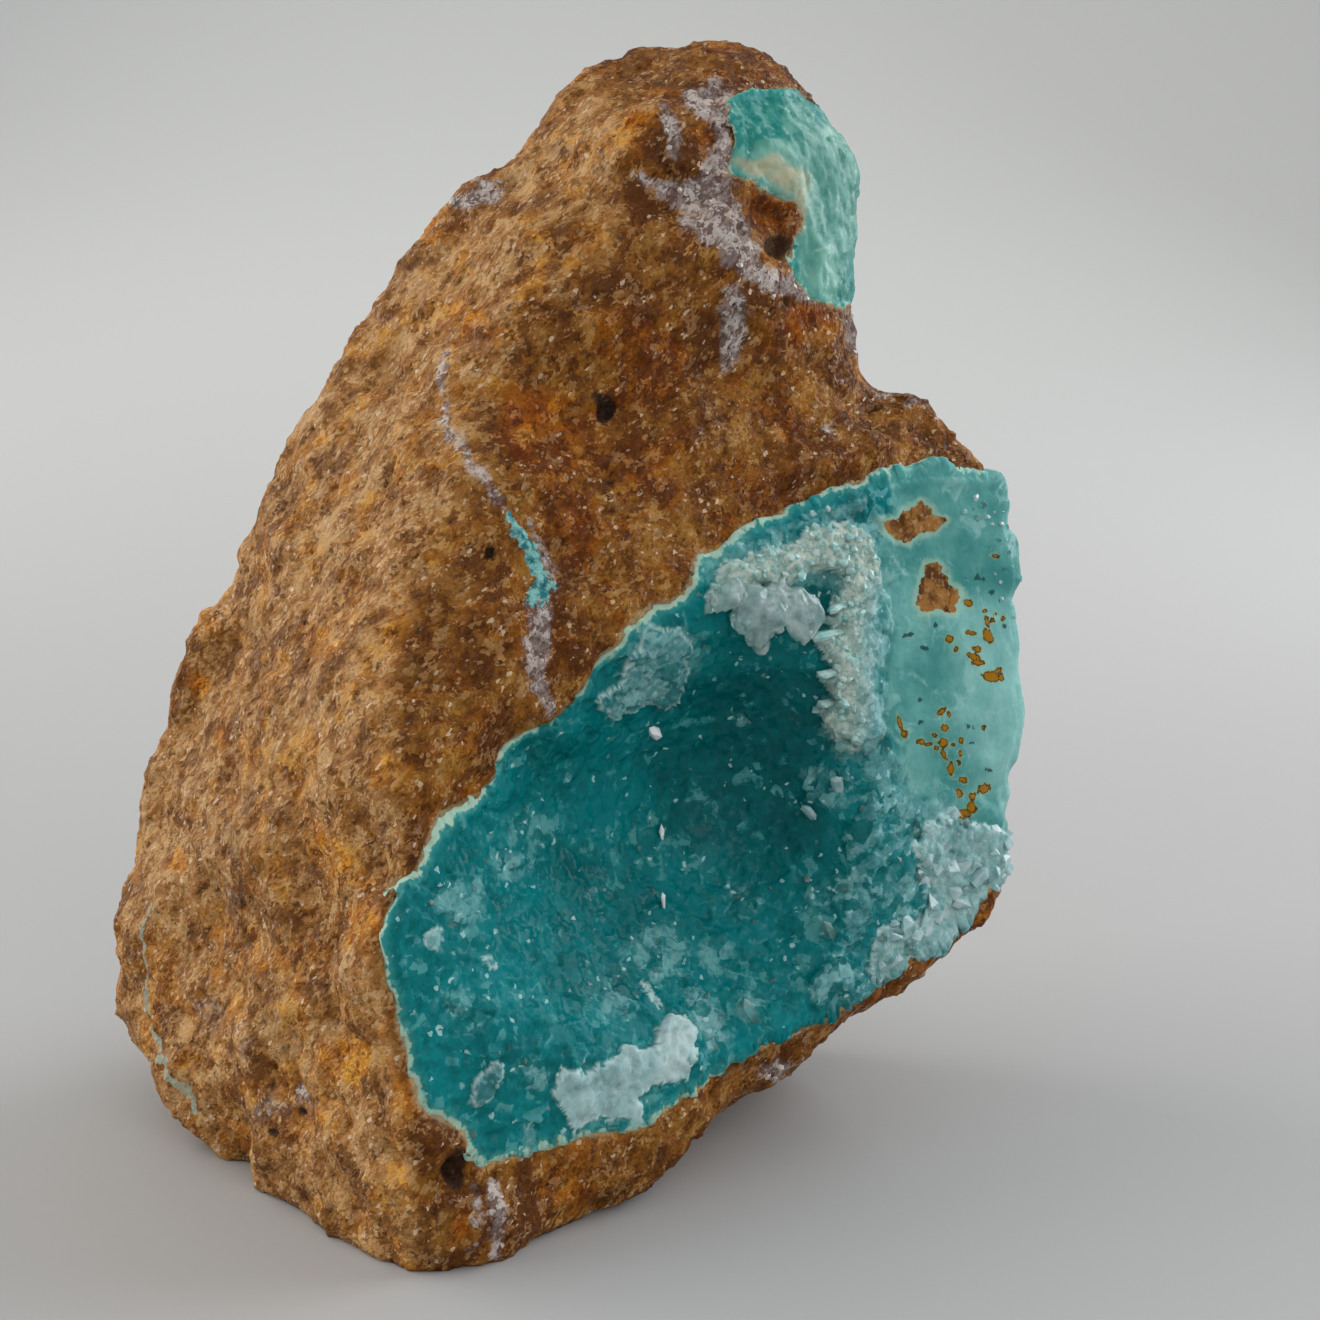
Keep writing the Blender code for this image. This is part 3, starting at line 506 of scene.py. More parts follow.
def inside_outline(x, y, outline):
    """Signed distance to a closed outline, positive inside."""
    best = np.full(len(x), 99.0)
    inside = np.zeros(len(x), bool)
    for start, end in zip((outline[-1], *outline), outline):
        best = np.minimum(best, to_segment(x, y, start, end)[1])
        (ax, ay), (bx, by) = start, end
        crosses = (ay > y) != (by > y)
        with np.errstate(divide="ignore", invalid="ignore"):
            edge = ax + (y - ay) * (bx - ax) / (by - ay)
        inside ^= crosses & (x < edge)
    return np.where(inside, best, -best)


def inside_quartz(across, down):
    """Millimetres inside the nearest path of grey quartz in the rock."""
    return np.max([inside_path(across, down, *band) for band in QUARTZ_PATHS], axis=0)


# ---------------------------------------------------------------- meshes


def read(items, field, width, kind=np.float32):
    values = np.zeros(len(items) * width, kind)
    items.foreach_get(field, values)
    return values.reshape(-1, width)


def places_of(mesh):
    return read(mesh.vertices, "co", 3).astype(float)


def normals_of(mesh):
    return read(mesh.vertex_normals, "vector", 3).astype(float)


def edges_of(mesh):
    return read(mesh.edges, "vertices", 2, np.int32)


def move_to(mesh, places):
    mesh.vertices.foreach_set("co", places.astype(np.float32).ravel())
    mesh.update()


def neighbour_mean(values, edges):
    count = np.bincount(edges.ravel(), minlength=len(values)).astype(float)
    total = np.zeros_like(values)
    for axis, column in enumerate(values.T):
        for near, far in ((0, 1), (1, 0)):
            total[:, axis] += np.bincount(edges[:, near], column[edges[:, far]], len(values))
    return total / np.maximum(count, 1.0)[:, None]


def smoothed(places, edges, rounds, weight):
    """Evens a surface out; weight is how much each vertex may move."""
    weight = np.full(len(places), weight)[:, None] * 0.5
    for _ in range(rounds):
        places = places + weight * (neighbour_mean(places, edges) - places)
    return places


def pushed(places, share):
    """Moves what lies by the pocket's edge in the plane of the broken face, to the edge's own bays."""
    across, down = pixel_of(places)
    moved = np.stack((across, down), axis=1)
    for u, v, reach, right, below in EDGE_BAYS:
        strength = step(1.0 - np.hypot(across - u, down - v) / reach, 0.0, 0.8) * share
        moved += strength[:, None] * (right, below)
    return slid(places, moved[:, 0], moved[:, 1])


def added(name, data):
    """A new object in the scene."""
    thing = bpy.data.objects.new(name, data)
    bpy.context.scene.collection.objects.link(thing)
    return thing


def evened(name, mesh, voxel):
    """An object with the same shape as a mesh, joined up and evenly divided."""
    piece = added(name, mesh)
    modifier = piece.modifiers.new("even", "REMESH")
    modifier.mode = "VOXEL"
    modifier.voxel_size = voxel
    graph = bpy.context.evaluated_depsgraph_get()
    fine = bpy.data.meshes.new_from_object(piece.evaluated_get(graph))
    piece.modifiers.clear()
    piece.data = fine
    bpy.data.meshes.remove(mesh)
    fine.name = name
    return piece


def remeshed(name, node, voxel):
    """A fine, even copy of a solid, in millimetres."""
    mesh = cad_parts[node].data.copy()
    mesh.transform(Matrix.Scale(1.0 / MM, 4))
    mesh.materials.clear()
    welded = bmesh.new()
    welded.from_mesh(mesh)
    bmesh.ops.remove_doubles(welded, verts=welded.verts, dist=0.0005)
    welded.to_mesh(mesh)
    welded.free()
    return evened(name, mesh, voxel)


def refine_where(piece, chosen):
    """Splits the faces whose corners are all chosen."""
    body = bmesh.new()
    body.from_mesh(piece.data)
    edges = {edge for face in body.faces if all(chosen[v.index] for v in face.verts) for edge in face.edges}
    bmesh.ops.subdivide_edges(body, edges=list(edges), cuts=1, use_grid_fill=True)
    body.to_mesh(piece.data)
    body.free()
    piece.data.update()


def surface_tree(piece):
    return BVHTree.FromObject(piece, bpy.context.evaluated_depsgraph_get())


def distances(places, tree, scale=1.0):
    """Millimetres from each place to a surface that is drawn at some scale."""
    return np.array([tree.find_nearest(place)[3] for place in map(Vector, places * scale)]) / scale


def node_distances(places, *nodes):
    """Millimetres from each place to the nearest of some solids of the block."""
    trees = [surface_tree(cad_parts[node]) for node in nodes]
    return np.min([distances(places, tree, MM) for tree in trees], axis=0)


def facing_camera(places, normals, low=-0.10, high=0.08):
    """1 where a surface faces the picture's camera, 0 where it faces away."""
    return step(np.sum(unit(CAMERA_PLACE - places) * normals, axis=1), low, high)


def front_of(places, normals):
    """1 on the part of the rock that the picture shows, 0 on its back."""
    return facing_camera(places, normals) * step(places[:, 1], 18.0, 10.0)


def dress(mesh, **attributes):
    """Stores numbers at the vertices for the material to read, and shades the mesh smoothly."""
    for name, values in attributes.items():
        attribute = mesh.attributes.new(name, "FLOAT", "POINT")
        attribute.data.foreach_set("value", np.full(len(mesh.vertices), values, np.float32))
    mesh.polygons.foreach_set("use_smooth", np.ones(len(mesh.polygons), bool))


def finish_piece(piece, material, slot, *nodes):
    """Scales a piece to metres, gives it its material and hangs it on the block."""
    piece.data.transform(Matrix.Scale(MM, 4))
    piece.data.update()
    piece.data.materials.clear()
    piece.data.materials.append(material)
    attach(piece, "root")
    if nodes:
        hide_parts(*nodes)


# ---------------------------------------------------------------- node graphs


class Signal:
    """A node's output that can be added, subtracted and multiplied."""

    def __init__(self, graph, socket):
        self.graph = graph
        self.socket = socket

    def __add__(self, other):
        return self.graph.math("ADD", self, other)

    def __sub__(self, other):
        return self.graph.math("SUBTRACT", self, other)

    def __mul__(self, other):
        return self.graph.math("MULTIPLY", self, other)


class Graph:
    """A material's nodes, made a call at a time."""

    def __init__(self, name):
        self.material = bpy.data.materials.new(name)
        self.material.use_nodes = True
        self.nodes = self.material.node_tree.nodes
        self.links = self.material.node_tree.links
        self.nodes.clear()

    def plug(self, socket, value):
        if isinstance(value, Signal):
            self.links.new(value.socket, socket)
        elif isinstance(value, tuple) and socket.type == "RGBA" and len(value) == 3:
            socket.default_value = (*value, 1.0)
        else:
            socket.default_value = value

    def node(self, kind, *inputs, **settings):
        """A new node with its first inputs plugged; an input of None is left alone."""
        node = self.nodes.new("ShaderNode" + kind)
        for name, value in settings.items():
            setattr(node, name, value)
        for socket, value in zip(node.inputs, inputs):
            if value is not None:
                self.plug(socket, value)
        return node

    def signal(self, output, kind, *inputs, **settings):
        """The named output of a new node."""
        return Signal(self, self.node(kind, *inputs, **settings).outputs[output])

    def math(self, operation, first, second):
        return self.signal("Value", "Math", first, second, operation=operation)

    def vector(self, operation, first, second=None, scale=None):
        output = "Value" if operation == "DOT_PRODUCT" else "Vector"
        return self.signal(output, "VectorMath", first, second, None, scale, operation=operation)

    def moved(self, place, colour, reach):
        """Places or normals shifted at random by a colour, by up to half the reach each way."""
        shift = self.vector("SCALE", self.vector("SUBTRACT", colour, (0.5, 0.5, 0.5)), scale=reach)
        return self.vector("ADD", place, shift)

    def place(self):
        return self.signal("Object", "TexCoord")

    def attribute(self, name):
        return self.signal("Fac", "Attribute", attribute_name=name)

    def noise(self, place, size, detail=2.0, roughness=0.5, distortion=0.0, output="Fac"):
        """Noise from 0 to 1 with features of about that many millimetres."""
        scale = 1.0 / (size * MM)
        unused = (None, None, None)
        return self.signal(output, "TexNoise", place, None, scale, detail, roughness, *unused, distortion)

    def cells(self, place, size):
        """Grains of about that many millimetres: their colour, grey tone and distance from the middle."""
        node = self.node("TexVoronoi", place, None, 1.0 / (size * MM))
        colour = Signal(self, node.outputs["Color"])
        tone = self.vector("DOT_PRODUCT", colour, (0.34, 0.33, 0.33))
        return colour, tone, Signal(self, node.outputs["Distance"])

    def between(self, value, low, high):
        """0 below low, 1 above high and smooth between them."""
        return self.signal("Result", "MapRange", value, low, high, interpolation_type="SMOOTHSTEP")

    def lerp(self, share, low, high):
        return self.signal("Result", "MapRange", share, 0.0, 1.0, low, high)

    def mix(self, share, first, second, blend="MIX"):
        node = self.node("Mix", share, data_type="RGBA", blend_type=blend)
        self.plug(node.inputs[6], first)
        self.plug(node.inputs[7], second)
        return Signal(self, node.outputs[2])

    def bump(self, height, strength, distance):
        return self.signal("Normal", "Bump", strength, distance * MM, None, height)

    def principled(self, **values):
        """The surface; a number here is set on the shader's own socket."""
        node = self.node("BsdfPrincipled")
        for name, value in values.items():
            self.plug(node.inputs[name.replace("_", " ")], value)
        self.output = self.node("OutputMaterial")
        self.links.new(node.outputs["BSDF"], self.output.inputs["Surface"])

    def absorb(self, colour, density):
        """Tints light by how far it travels inside, density per metre."""
        node = self.node("VolumeAbsorption", colour, density)
        self.links.new(node.outputs["Volume"], self.output.inputs["Volume"])


def rock_material():
    """Iron-stained, sugary rock: brown and tan grains, ochre stains, grey quartz and a blue seam."""
    g = Graph("iron_stained_rock")
    place = g.place()
    loose = g.moved(place, g.noise(place, 0.909091, output="Color"), 0.0003)
    along = g.vector("DOT_PRODUCT", place, tuple(STREAK_WAY))
    drawn = g.vector("ADD", place, g.vector("SCALE", tuple(STREAK_WAY), scale=along * -0.34))

    broad = g.noise(place, 8.0, 3.0, 0.55)
    middle = g.noise(loose, 2.4, 3.0, 0.62)
    fine = g.noise(drawn, 0.62, 3.0, 0.65)
    sugar = g.noise(drawn, 0.30, 2.0, 0.6)
    pale_noise = g.noise(drawn, 1.2, 3.0, 0.65)
    crumb_colour, crumb_tone, _ = g.cells(drawn, 0.24)
    torn = g.moved(drawn, crumb_colour, 0.0004)
    _, grain_tone, grain_distance = g.cells(torn, 0.44)
    _, flake_tone, _ = g.cells(torn, 1.15)

    light_side = g.attribute("light_side")
    glow = grain_tone * 0.80 + sugar * 0.50
    # The tone is a little lighter on the side toward the left window: painted light.
    tone = flake_tone * 0.46 + glow * 0.62 + (middle - 0.5) * 1.1 + (broad - 0.5) * 0.6 + light_side * 0.06
    base = g.mix(g.between(tone, 0.46, 0.60), (0.165, 0.064, 0.012), (0.285, 0.126, 0.028))
    base = g.mix(g.between(tone, 0.62, 0.70), base, (0.405, 0.205, 0.068))
    base = g.mix(g.between(tone, 0.78, 0.86), base, (0.560, 0.345, 0.160))
    warm = g.between(g.noise(loose, 3.4, 3.0, 0.62, 0.6), 0.50, 0.62)
    base = g.mix(warm * 0.85, base, (1.12, 0.93, 0.32), "MULTIPLY")
    ochre = g.attribute("ochre") + (g.noise(loose, 1.9, 3.0, 0.65) - 0.5) * 2.2
    scattered = g.between(g.noise(place, 5.0, 3.0, 0.65), 0.56, 0.68)
    ochre = g.math("MAXIMUM", g.between(ochre, 0.30, 1.05), scattered * 0.6)
    base = g.mix(ochre * 0.9, base, (1.30, 1.02, 0.16), "MULTIPLY")
    pale = g.between(g.attribute("pale") + (pale_noise - 0.5) * 2.0, 0.35, 1.05)
    base = g.mix(pale * 0.65, base, (0.50, 0.31, 0.13))
    plum = g.between(g.attribute("plum") + (g.noise(loose, 1.4, 3.0, 0.65) - 0.5) * 2.0, 0.30, 0.95)
    dusk = g.between(g.noise(place, 4.2, 4.0, 0.64, 0.5), 0.54, 0.66)
    plum = g.math("MAXIMUM", plum, dusk * 0.45)
    base = g.mix(plum * 0.60, base, g.mix(0.35, (0.180, 0.088, 0.066), base))
    rusty = g.between(g.noise(place, 2.0, 3.0, 0.68, 0.5), 0.57, 0.68)
    base = g.mix(rusty * 0.6, base, (0.56, 0.42, 0.24), "MULTIPLY")
    # Painted light and shade: faces toward the left window keep their colour, faces turned away are
    # darkened.
    base = g.mix(1.0, base, g.mix(light_side, (0.62, 0.46, 0.16), (0.98, 0.92, 0.82)), "MULTIPLY")
    base = g.mix(g.between(fine, 0.44, 0.32) * 0.62, base, (0.050, 0.016, 0.004))
    # Pale flecks show a little more on the side toward the left window: painted light.
    fleck = g.between(grain_tone + light_side * 0.04, 0.66, 0.70)
    base = g.mix(fleck * 0.24, base, (0.60, 0.38, 0.19))
    # Painted highlights: small pale specks that stand in for glints off the grains.
    painted_glint = g.between(crumb_tone, 0.78, 0.84) * g.between(glow, 0.55, 0.70)
    base = g.mix(painted_glint * 0.55, base, (0.80, 0.62, 0.42))

    quartz = g.attribute("quartz") + (g.noise(loose, 1.1, 3.0, 0.68) - 0.5) * 2.0
    grey = g.mix(g.between(glow, 0.48, 0.76), (0.185, 0.135, 0.122), (0.60, 0.55, 0.52))
    # Dark reddish cells among the grey quartz: painted shade between its grains.
    grey = g.mix(g.between(flake_tone, 0.46, 0.40) * 0.6, grey, (0.090, 0.036, 0.030))
    base = g.mix(g.between(quartz, 0.30, 0.95) * 0.80, base, grey)

    edge = (g.noise(place, 0.6, 2.0, 0.65) - 0.5) * 1.6
    seam = g.between(g.attribute("seam") + edge, -0.06, 0.12)
    streaks = g.noise(place, 0.50, 2.0) * 0.7 + grain_tone * 0.3
    base = g.mix(seam, base, g.mix(g.between(streaks, 0.38, 0.58), (0.015, 0.17, 0.19), (0.24, 0.54, 0.50)))
    pale_seam = g.between(g.attribute("edge_seam") + edge * 0.25, -0.04, 0.05)
    base = g.mix(pale_seam * 0.75, base, (0.36, 0.42, 0.33))
    lip = g.between(g.attribute("lip") + edge * 0.55, 0.75, 0.40)
    base = g.mix(lip * 0.55, base, (0.50, 0.40, 0.22))

    # Painted shade: the rock is darkened in its hollows and creases.
    hollow_shade = g.between(g.attribute("cavity"), 0.40, 1.6)
    base = g.mix(hollow_shade, base, g.mix(0.7, base, (0.020, 0.007, 0.002)))
    # Painted shade: near-black in the pits and under ledges and edges, from the dark zones.
    shade = g.between(g.attribute("dark") + (pale_noise - 0.5) * 0.9, 0.35, 1.0)
    base = g.mix(shade * 0.85, base, (0.014, 0.008, 0.005))

    normal = g.bump(grain_distance * -0.30 + sugar * 0.75 + fine * 0.8, 0.9, 0.30)
    gloss = g.lerp(g.between(crumb_tone, 0.45, 0.75), 0.75, 0.30)
    normal = g.vector("NORMALIZE", g.moved(normal, crumb_colour, 0.45))
    g.principled(Base_Color=base, Roughness=gloss, Normal=normal, IOR=1.5, Specular_IOR_Level=0.18)
    return g.material


def lining_material():
    """Blue-green chrysocolla: deep teal, hazy with quartz in places, pale where it was broken through."""
    g = Graph("chrysocolla_stone")
    place = g.place()
    loose = g.moved(place, g.noise(place, 1.25, output="Color"), 0.0008)
    cloud = g.noise(place, 4.5, 3.0, 0.6)
    mottle = g.noise(loose, 1.3, 3.0, 0.65)
    speck = g.noise(place, 0.40, 2.0, 0.6)
    _, plate_tone, _ = g.cells(loose, 1.15)
    chip_colour, chip_tone, _ = g.cells(loose, 0.50)
    _, flake_tone, _ = g.cells(loose, 0.27)
    facet = plate_tone * 0.6 + chip_tone * 0.4

    # Darker teal in the deep zones: partly the lining's own colour, partly painted shade of the hollow.
    tone = cloud * 0.9 + g.attribute("deep") * -0.40 + (facet - 0.5) * 0.5
    base = g.mix(g.between(tone, -0.05, 0.70), (0.0004, 0.095, 0.098), (0.0008, 0.198, 0.208))
    lively = g.between(mottle + (facet - 0.5) * 0.5, 0.54, 0.74)
    base = g.mix(lively * 0.20, base, (0.008, 0.320, 0.325))

    haze = g.attribute("haze") + (mottle - 0.5) * 1.8 + (facet - 0.5) * 1.2 + (speck - 0.5) * 0.6
    base = g.mix(g.between(haze, 0.25, 1.15) * 0.36, base, (0.110, 0.360, 0.352))
    angular = g.between(facet * 0.9 + haze * 0.34, 0.67, 0.78)
    base = g.mix(angular * 0.23, base, (0.240, 0.500, 0.480))
    # Painted highlights: tiny pale specks that stand in for glints off crystal faces.
    painted_glitter = g.between(flake_tone + haze * 0.06, 0.86, 0.90)
    base = g.mix(painted_glitter * 0.50, base, (0.62, 0.86, 0.84))

    slab = g.attribute("slab") + (mottle - 0.5) * 2.2
    broken_through = g.between(slab, -0.4, 0.7)
    cloudy = g.between(cloud, 0.36, 0.68)
    cut = g.mix(cloudy, (0.052, 0.250, 0.235), (0.135, 0.385, 0.355))
    sky = g.mix(cloudy, (0.165, 0.420, 0.395), (0.270, 0.550, 0.510))
    cut = g.mix(g.between(slab, 4.0, 9.5), cut, sky)
    veins = g.between(g.noise(place, 2.1, 3.0, 0.65, 1.0), 0.54, 0.68)
    cut = g.mix(veins * 0.40, cut, (0.34, 0.60, 0.56))
    base = g.mix(broken_through, base, cut)

    milk, soft = g.attribute("milk"), g.attribute("soft")
    sugary = facet * 0.55 + speck * 0.45
    crust = g.mix(g.between(sugary, 0.30, 0.66), (0.200, 0.400, 0.385), (0.50, 0.63, 0.59))
    faint = g.mix(g.between(sugary, 0.46, 0.62), (0.120, 0.330, 0.335), (0.340, 0.560, 0.560))
    crust = g.mix(g.between(milk, 0.60, 0.95), faint, crust)
    even = g.mix(g.between(cloud, 0.40, 0.60), (0.30, 0.470, 0.485), (0.52, 0.650, 0.655))
    crust = g.mix(soft * 0.65, crust, even)
    veil = g.math("MAXIMUM", milk * g.lerp(g.between(mottle, 0.40, 0.60), 0.72, 1.0), soft * milk)
    torn = g.lerp(g.between(facet, 0.36, 0.52), 0.25, 1.0)
    veil = veil * g.mix(g.between(milk, 0.45, 0.75), torn, (1.0, 1.0, 1.0))
    base = g.mix(g.between(veil, 0.0, 1.0) * 0.95, base, crust)
    base = g.mix(g.attribute("milk_edge") * 0.70, base, (0.60, 0.76, 0.73))
    base = g.mix(g.attribute("warm"), base, (1.38, 1.08, 0.92), "MULTIPLY")
    base = g.mix(g.attribute("moss"), base, (0.040, 0.260, 0.200))

    edge = (g.noise(place, 0.7, 2.0, 0.6) - 0.5) * 1.1
    rim = g.attribute("rim") + edge * 0.8
    base = g.mix(g.between(rim, 0.90, 0.30) * 0.45, base, (0.08, 0.40, 0.36))
    base = g.mix(g.between(rim, 0.42, 0.28) * 0.9, base, (0.42, 0.60, 0.47))

    frayed = (speck - 0.5) * 0.60
    orange = g.attribute("orange") + frayed
    base = g.mix(g.between(orange, -0.22, -0.04) * 0.35, base, (0.34, 0.40, 0.13))
    brown = g.mix(g.between(orange, 0.03, 0.20), (0.060, 0.030, 0.003), (0.34, 0.150, 0.003))
    base = g.mix(g.between(orange, -0.03, 0.03), base, brown)
    black = g.between(g.attribute("black") + frayed, -0.04, 0.05)
    base = g.mix(black * 0.85, base, (0.006, 0.050, 0.048))
    iron = g.attribute("iron") + edge * 0.8
    base = g.mix(g.between(iron, -0.60, -0.15) * 0.60, base, (0.36, 0.54, 0.40))
    rust = g.mix(g.between(mottle, 0.36, 0.58), (0.095, 0.032, 0.006), (0.330, 0.150, 0.035))
    rust = g.mix(g.between(speck, 0.56, 0.66) * 0.5, rust, (0.50, 0.32, 0.16))
    base = g.mix(g.between(iron, -0.04, 0.04), base, rust)
    base = g.mix(g.attribute("ochre"), base, (0.50, 0.42, 0.26))

    normal = g.bump(mottle * 0.5 + speck * 0.5, 0.35, 0.20)
    normal = g.vector("NORMALIZE", g.moved(normal, chip_colour, g.lerp(broken_through, 0.26, 0.05)))
    gloss = g.lerp(g.between(facet, 0.35, 0.65), 0.16, 0.45)
    g.principled(Base_Color=base, Roughness=gloss, Normal=normal, IOR=1.5, Specular_IOR_Level=0.11,
                 Subsurface_Weight=0.25, Subsurface_Radius=(0.25, 0.9, 1.0), Subsurface_Scale=0.8 * MM)
    return g.material


def quartz_material(name, colour, transmission, roughness, haze_colour=None, subsurface=0.0):
    """Quartz, from water-clear to milky."""
    g = Graph(name)
    place = g.place()
    base = colour
    if haze_colour is not None:
        cloud = g.noise(place, 1.1, 3.0, 0.6)
        base = g.mix(g.between(cloud, 0.38, 0.66), colour, haze_colour)
    normal = g.bump(g.noise(place, 0.35, 3.0, 0.6), 0.30, 0.06)
    scatter = {}
    if subsurface:
        scatter = {"Subsurface_Weight": subsurface, "Subsurface_Radius": (0.8, 0.95, 1.0),
                   "Subsurface_Scale": 0.9 * MM}
    g.principled(Base_Color=base, Roughness=roughness, Normal=normal, IOR=1.54,
                 Transmission_Weight=transmission, **scatter)
    if transmission >= 0.9:
        g.absorb((0.35, 0.92, 0.90), 260.0)
    return g.material


def floor_material():
    """Plain pale card, a little darker where it lies flat than where it sweeps up."""
    g = Graph("pale_card")
    place = g.place()
    height = g.vector("DOT_PRODUCT", place, (0.0, 0.3, 1.0))
    card = g.mix(g.between(height, -0.10, 0.50), (0.400, 0.396, 0.390), (0.61, 0.613, 0.60))
    g.principled(Base_Color=card, Roughness=0.55, Normal=g.bump(g.noise(place, 1.2, 2.0), 0.12, 0.15))
    return g.material


# ---------------------------------------------------------------- the rock


def make_rock():
    piece = remeshed("rock", "host_rock", ROCK_VOXEL)
    mesh = piece.data
    places = places_of(mesh)
    bare = (node_distances(places, *CHRYSOCOLLA) > 0.9) & (places[:, 2] > 0.8)
    refine_where(piece, bare & (facing_camera(places, normals_of(mesh), -0.02, 0.02) > 0.5))
    places, edges = places_of(mesh), edges_of(mesh)
    near = node_distances(places, *CHRYSOCOLLA)
    free = step(near, 0.4, 2.2) * step(places[:, 2], 0.05, 1.0)
    places = smoothed(places, edges, 10, 0.12 + 0.88 * free)
    move_to(mesh, places)
    places = pushed(places, step(near, 5.0, 1.5) * facing_camera(places, normals_of(mesh)))
    move_to(mesh, places)
    normals = normals_of(mesh)
    across, down = pixel_of(places)
    front = front_of(places, normals)

    drawn = places - 0.16 * (places @ STREAK_WAY)[:, None] * STREAK_WAY
    stirred = drawn + 0.4 * stirring(places, 1.3, (5, 6, 7))
    rise = 0.30 * fractal(places, 9.0, 2, 1) + 0.34 * fractal(places, 4.6, 3, 3)
    for height, size, seed in ((0.20, 2.6, 40), (0.13, 1.25, 60), (0.12, 0.62, 65)):
        rise += height * facets(stirred, size, seed)
    rise += 0.09 * fractal(drawn, 1.5, 3, 9)
    rise += 0.15 * np.tanh(5.0 * fractal(places * (1.0, 1.0, 1.6), 3.4, 2, 17))  # ledges
    calm = 0.35 + 0.65 * step(near, 0.2, 1.6)
    rise = rise * calm * step(places[:, 2], 0.0, 0.9) + 0.24 * step(near, 1.1, 0.6)
    ragged = [3.5 * value_noise(places, 1.5, k) + 2.5 * value_noise(places, 0.6, k + 5) for k in (401, 411)]
    across, down = across + ragged[0], down + ragged[1]
    for u, v, reach, deep in ROCK_PITS:
        away = np.hypot(across - u, down - v) / reach
        rise -= deep * np.clip(1.0 - away * away, 0.0, 1.0) * front
    seam, edge_seam = (
        inside_path(across, down, *band) * front + OUTSIDE * (1.0 - front) for band in (SEAM, EDGE_SEAM)
    )
    rise += 0.25 * step(seam, -0.2, 0.3)
    places = places + normals * rise[:, None]
    places[:, 2] = np.maximum(places[:, 2], 0.0)
    places = smoothed(places, edges, 1, 0.25)
    move_to(mesh, places)

    # How hollow the surface is at each vertex; the material paints shade there.
    hollowness = np.sum((neighbour_mean(places, edges) - places) * normals_of(mesh), axis=1)
    strengths = {name: zones(across, down, spots) for name, spots in ROCK_ZONES.items()}
    veins = 0.95 * step(inside_quartz(across, down), -0.7, 0.6)
    strengths["quartz"] = np.maximum(strengths["quartz"], veins)
    # Painted light: near 1 on faces toward the left window, near 0 on faces turned away, less on the shaded
    # middle of the front.
    light_side = step(-normals[:, 0] - 0.35 * normals[:, 1], 0.1, 0.75)
    dress(
        mesh, cavity=np.clip(hollowness / 0.10, 0.0, 2.0), seam=seam, edge_seam=edge_seam, lip=near,
        light_side=light_side * (1.0 - 0.8 * front * zones(across, down, SHADED_ZONES)),
        **{name: strength * front for name, strength in strengths.items()},
    )
    return piece


# ---------------------------------------------------------------- the blue-green linings


def milk_of(places, across, down):
    """Whiteness, its pale edge and the height of the milky quartz at each place of the lining."""
    jitter = 0.30 * facets(places, 1.1, 501) + 0.14 * facets(places, 0.5, 502)
    milk, edge, height = (np.zeros(len(places)) for _ in range(3))
    fading = 1.0 - 0.55 * step(across, 846, 892) * step(down, 560, 610) * step(down, 800, 770)
    for white, rise, outline in MILKY_OUTLINES:
        left, top = np.min(outline, axis=0) - 8.0
        right, bottom = np.max(outline, axis=0) + 8.0
        close = (across > left) & (across < right) & (down > top) & (down < bottom)
        depth = np.full(len(places), -1.0)
        inside = inside_outline(across[close], down[close], outline)
        depth[close] = inside / PIXELS_PER_MM + jitter[close]
        milk = np.maximum(milk, white * step(depth, -0.06, 0.10))
        if white > 0.52:
            edge = np.maximum(edge, 0.9 * step(0.16 - np.abs(depth - 0.08), 0.0, 0.12))
        height = np.maximum(height, rise * step(depth, -0.12, 0.10 + 0.4 * rise))
    return milk * fading, edge * fading, height * fading


